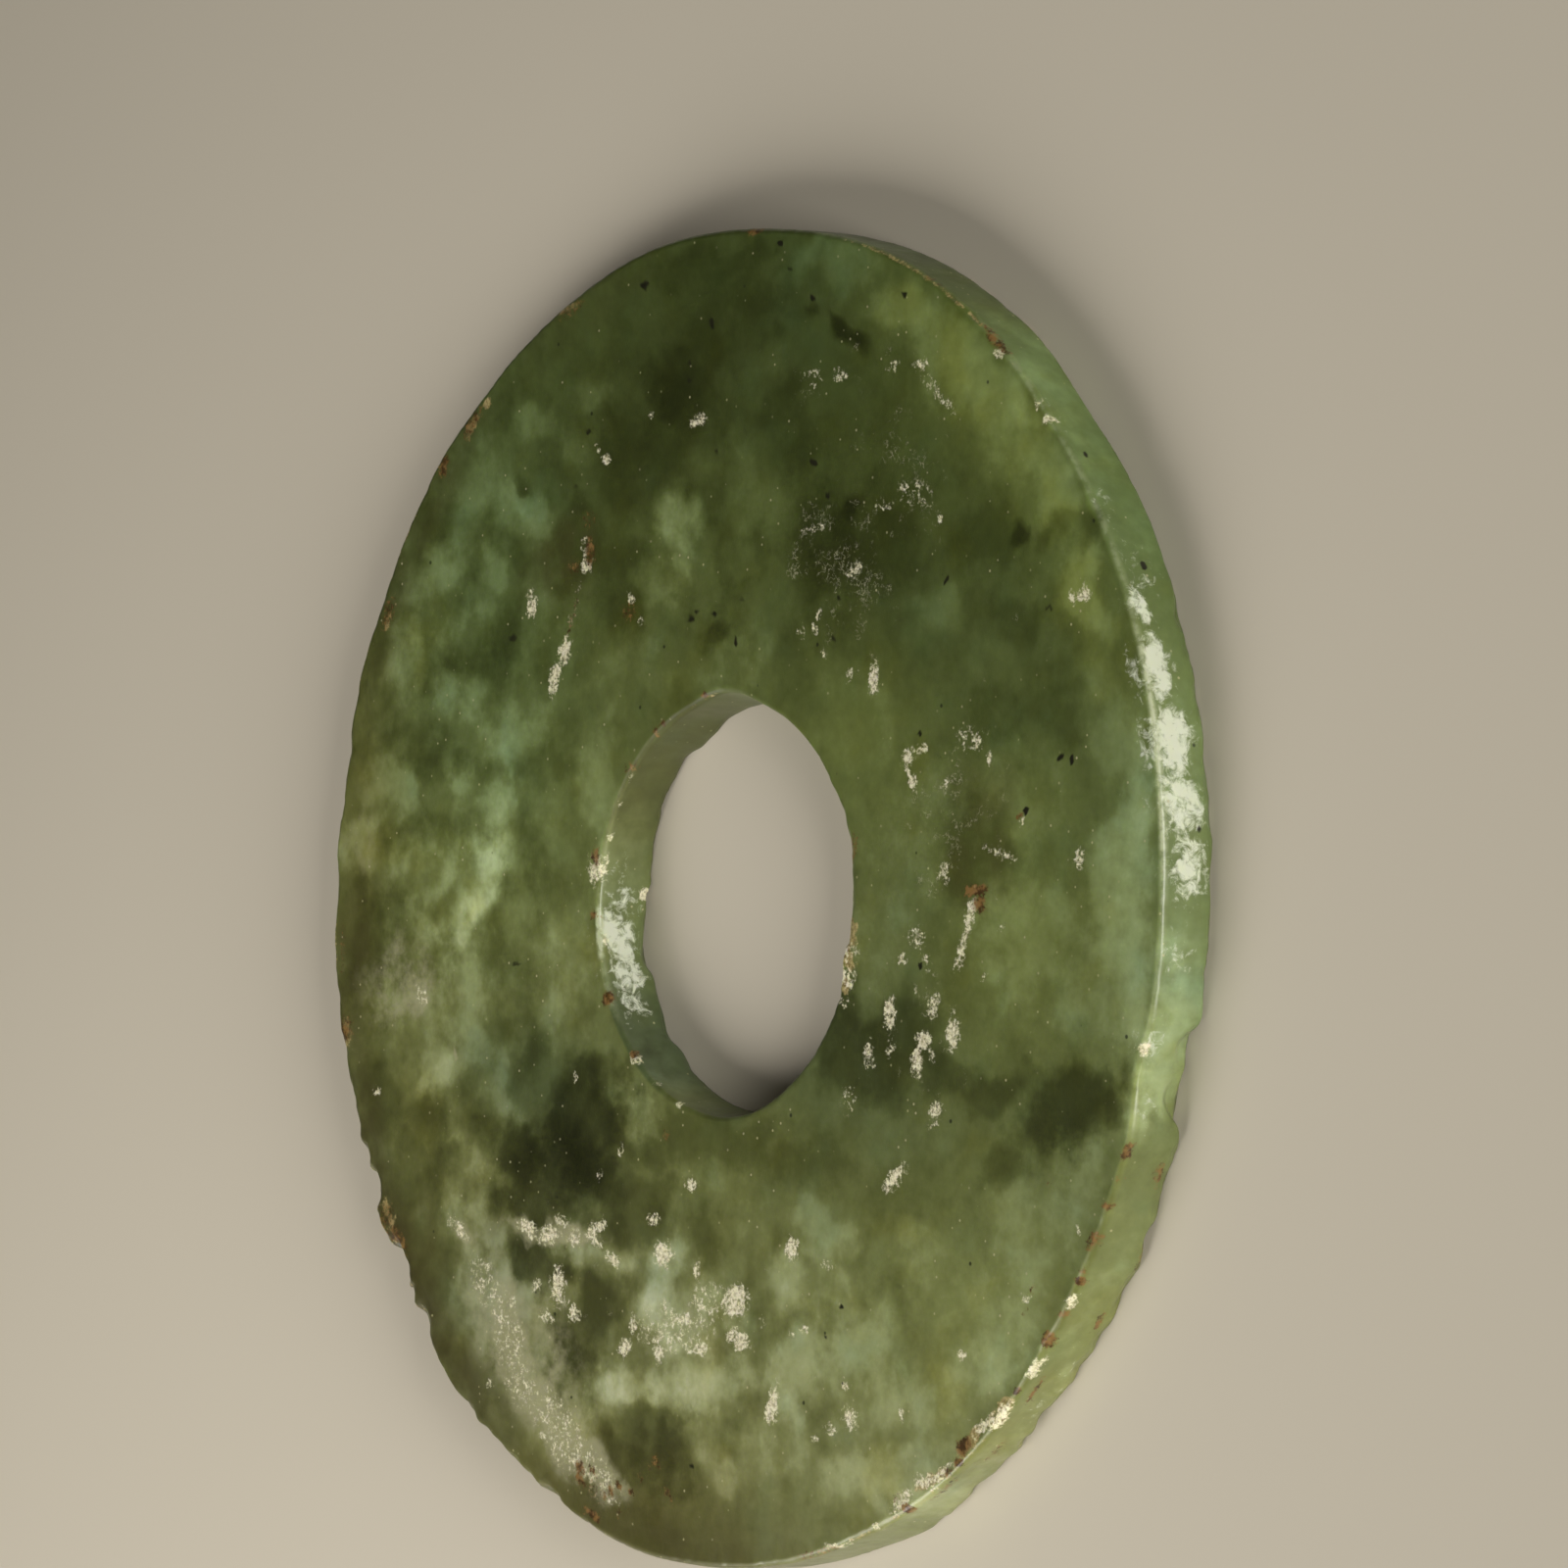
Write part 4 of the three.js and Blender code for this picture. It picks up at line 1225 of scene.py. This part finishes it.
def floor():
    height = UNDERSIDE * MM
    corners = [(x * FLOOR_HALF, y * FLOOR_HALF, height) for x, y in ((-1, -1), (1, -1), (1, 1), (-1, 1))]
    mesh = bpy.data.meshes.new("floor")
    mesh.from_pydata(corners, [], [(0, 1, 2, 3)])
    mesh.materials.append(Shader("floor").finish({
        "Base Color": FLOOR, "Roughness": FLOOR_ROUGHNESS, "Specular IOR Level": FLOOR_SPECULAR}))
    plane = bpy.data.objects.new("floor", mesh)
    bpy.context.scene.collection.objects.link(plane)


def soft_light(name, place, aim, size, power, colour, spread):
    light = bpy.data.lights.new(name, "AREA")
    light.shape = "RECTANGLE"
    light.size = size[0]
    light.size_y = size[1]
    light.energy = power
    light.color = colour
    light.spread = math.radians(spread)
    lamp = bpy.data.objects.new(name, light)
    lamp.location = place
    lamp.rotation_euler = (Vector(aim) - Vector(place)).to_track_quat("-Z", "Y").to_euler()
    bpy.context.scene.collection.objects.link(lamp)


def world():
    """A pale band at the horizon, in the floor's tone, under a dim ceiling."""
    sky = bpy.data.worlds.new("studio")
    bpy.context.scene.world = sky
    sky.use_nodes = True
    tree = sky.node_tree
    background = tree.nodes["Background"]
    direction = tree.nodes.new("ShaderNodeTexCoord")
    split = tree.nodes.new("ShaderNodeSeparateXYZ")
    ramp = tree.nodes.new("ShaderNodeValToRGB")
    low, high = ramp.color_ramp.elements
    low.position = 0.0
    low.color = (*HORIZON, 1)
    high.position = HORIZON_HEIGHT
    high.color = (*CEILING, 1)
    tree.links.new(direction.outputs["Generated"], split.inputs["Vector"])
    tree.links.new(split.outputs["Z"], ramp.inputs["Fac"])
    tree.links.new(ramp.outputs["Color"], background.inputs["Color"])
    background.inputs["Strength"].default_value = WORLD_STRENGTH


def camera():
    place = Vector(CAMERA_PLACE) * MM
    aim = Vector(CAMERA_AIM) * MM
    back = (place - aim).normalized()
    side = Vector((0, 1, 0)).cross(back).normalized()
    up = back.cross(side)
    roll = math.radians(CAMERA_ROLL)
    true_up = math.cos(roll) * up - math.sin(roll) * side
    true_side = true_up.cross(back)
    turn = Matrix((true_side, true_up, back)).transposed()
    data = bpy.data.cameras.new("camera")
    data.lens = CAMERA_LENS
    data.sensor_width = CAMERA_SENSOR
    data.clip_start = CAMERA_NEAR
    view = bpy.data.objects.new("camera", data)
    view.matrix_world = Matrix.Translation(place) @ turn.to_4x4()
    bpy.context.scene.collection.objects.link(view)
    bpy.context.scene.camera = view


camera()
floor()
world()
for name, facts in LIGHTS.items():
    soft_light(name, *facts)
bpy.context.scene.view_settings.view_transform = "Standard"

stone = jade_surface()
stone.data.materials.append(jade_material())
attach(stone, "root")
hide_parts(NODE)
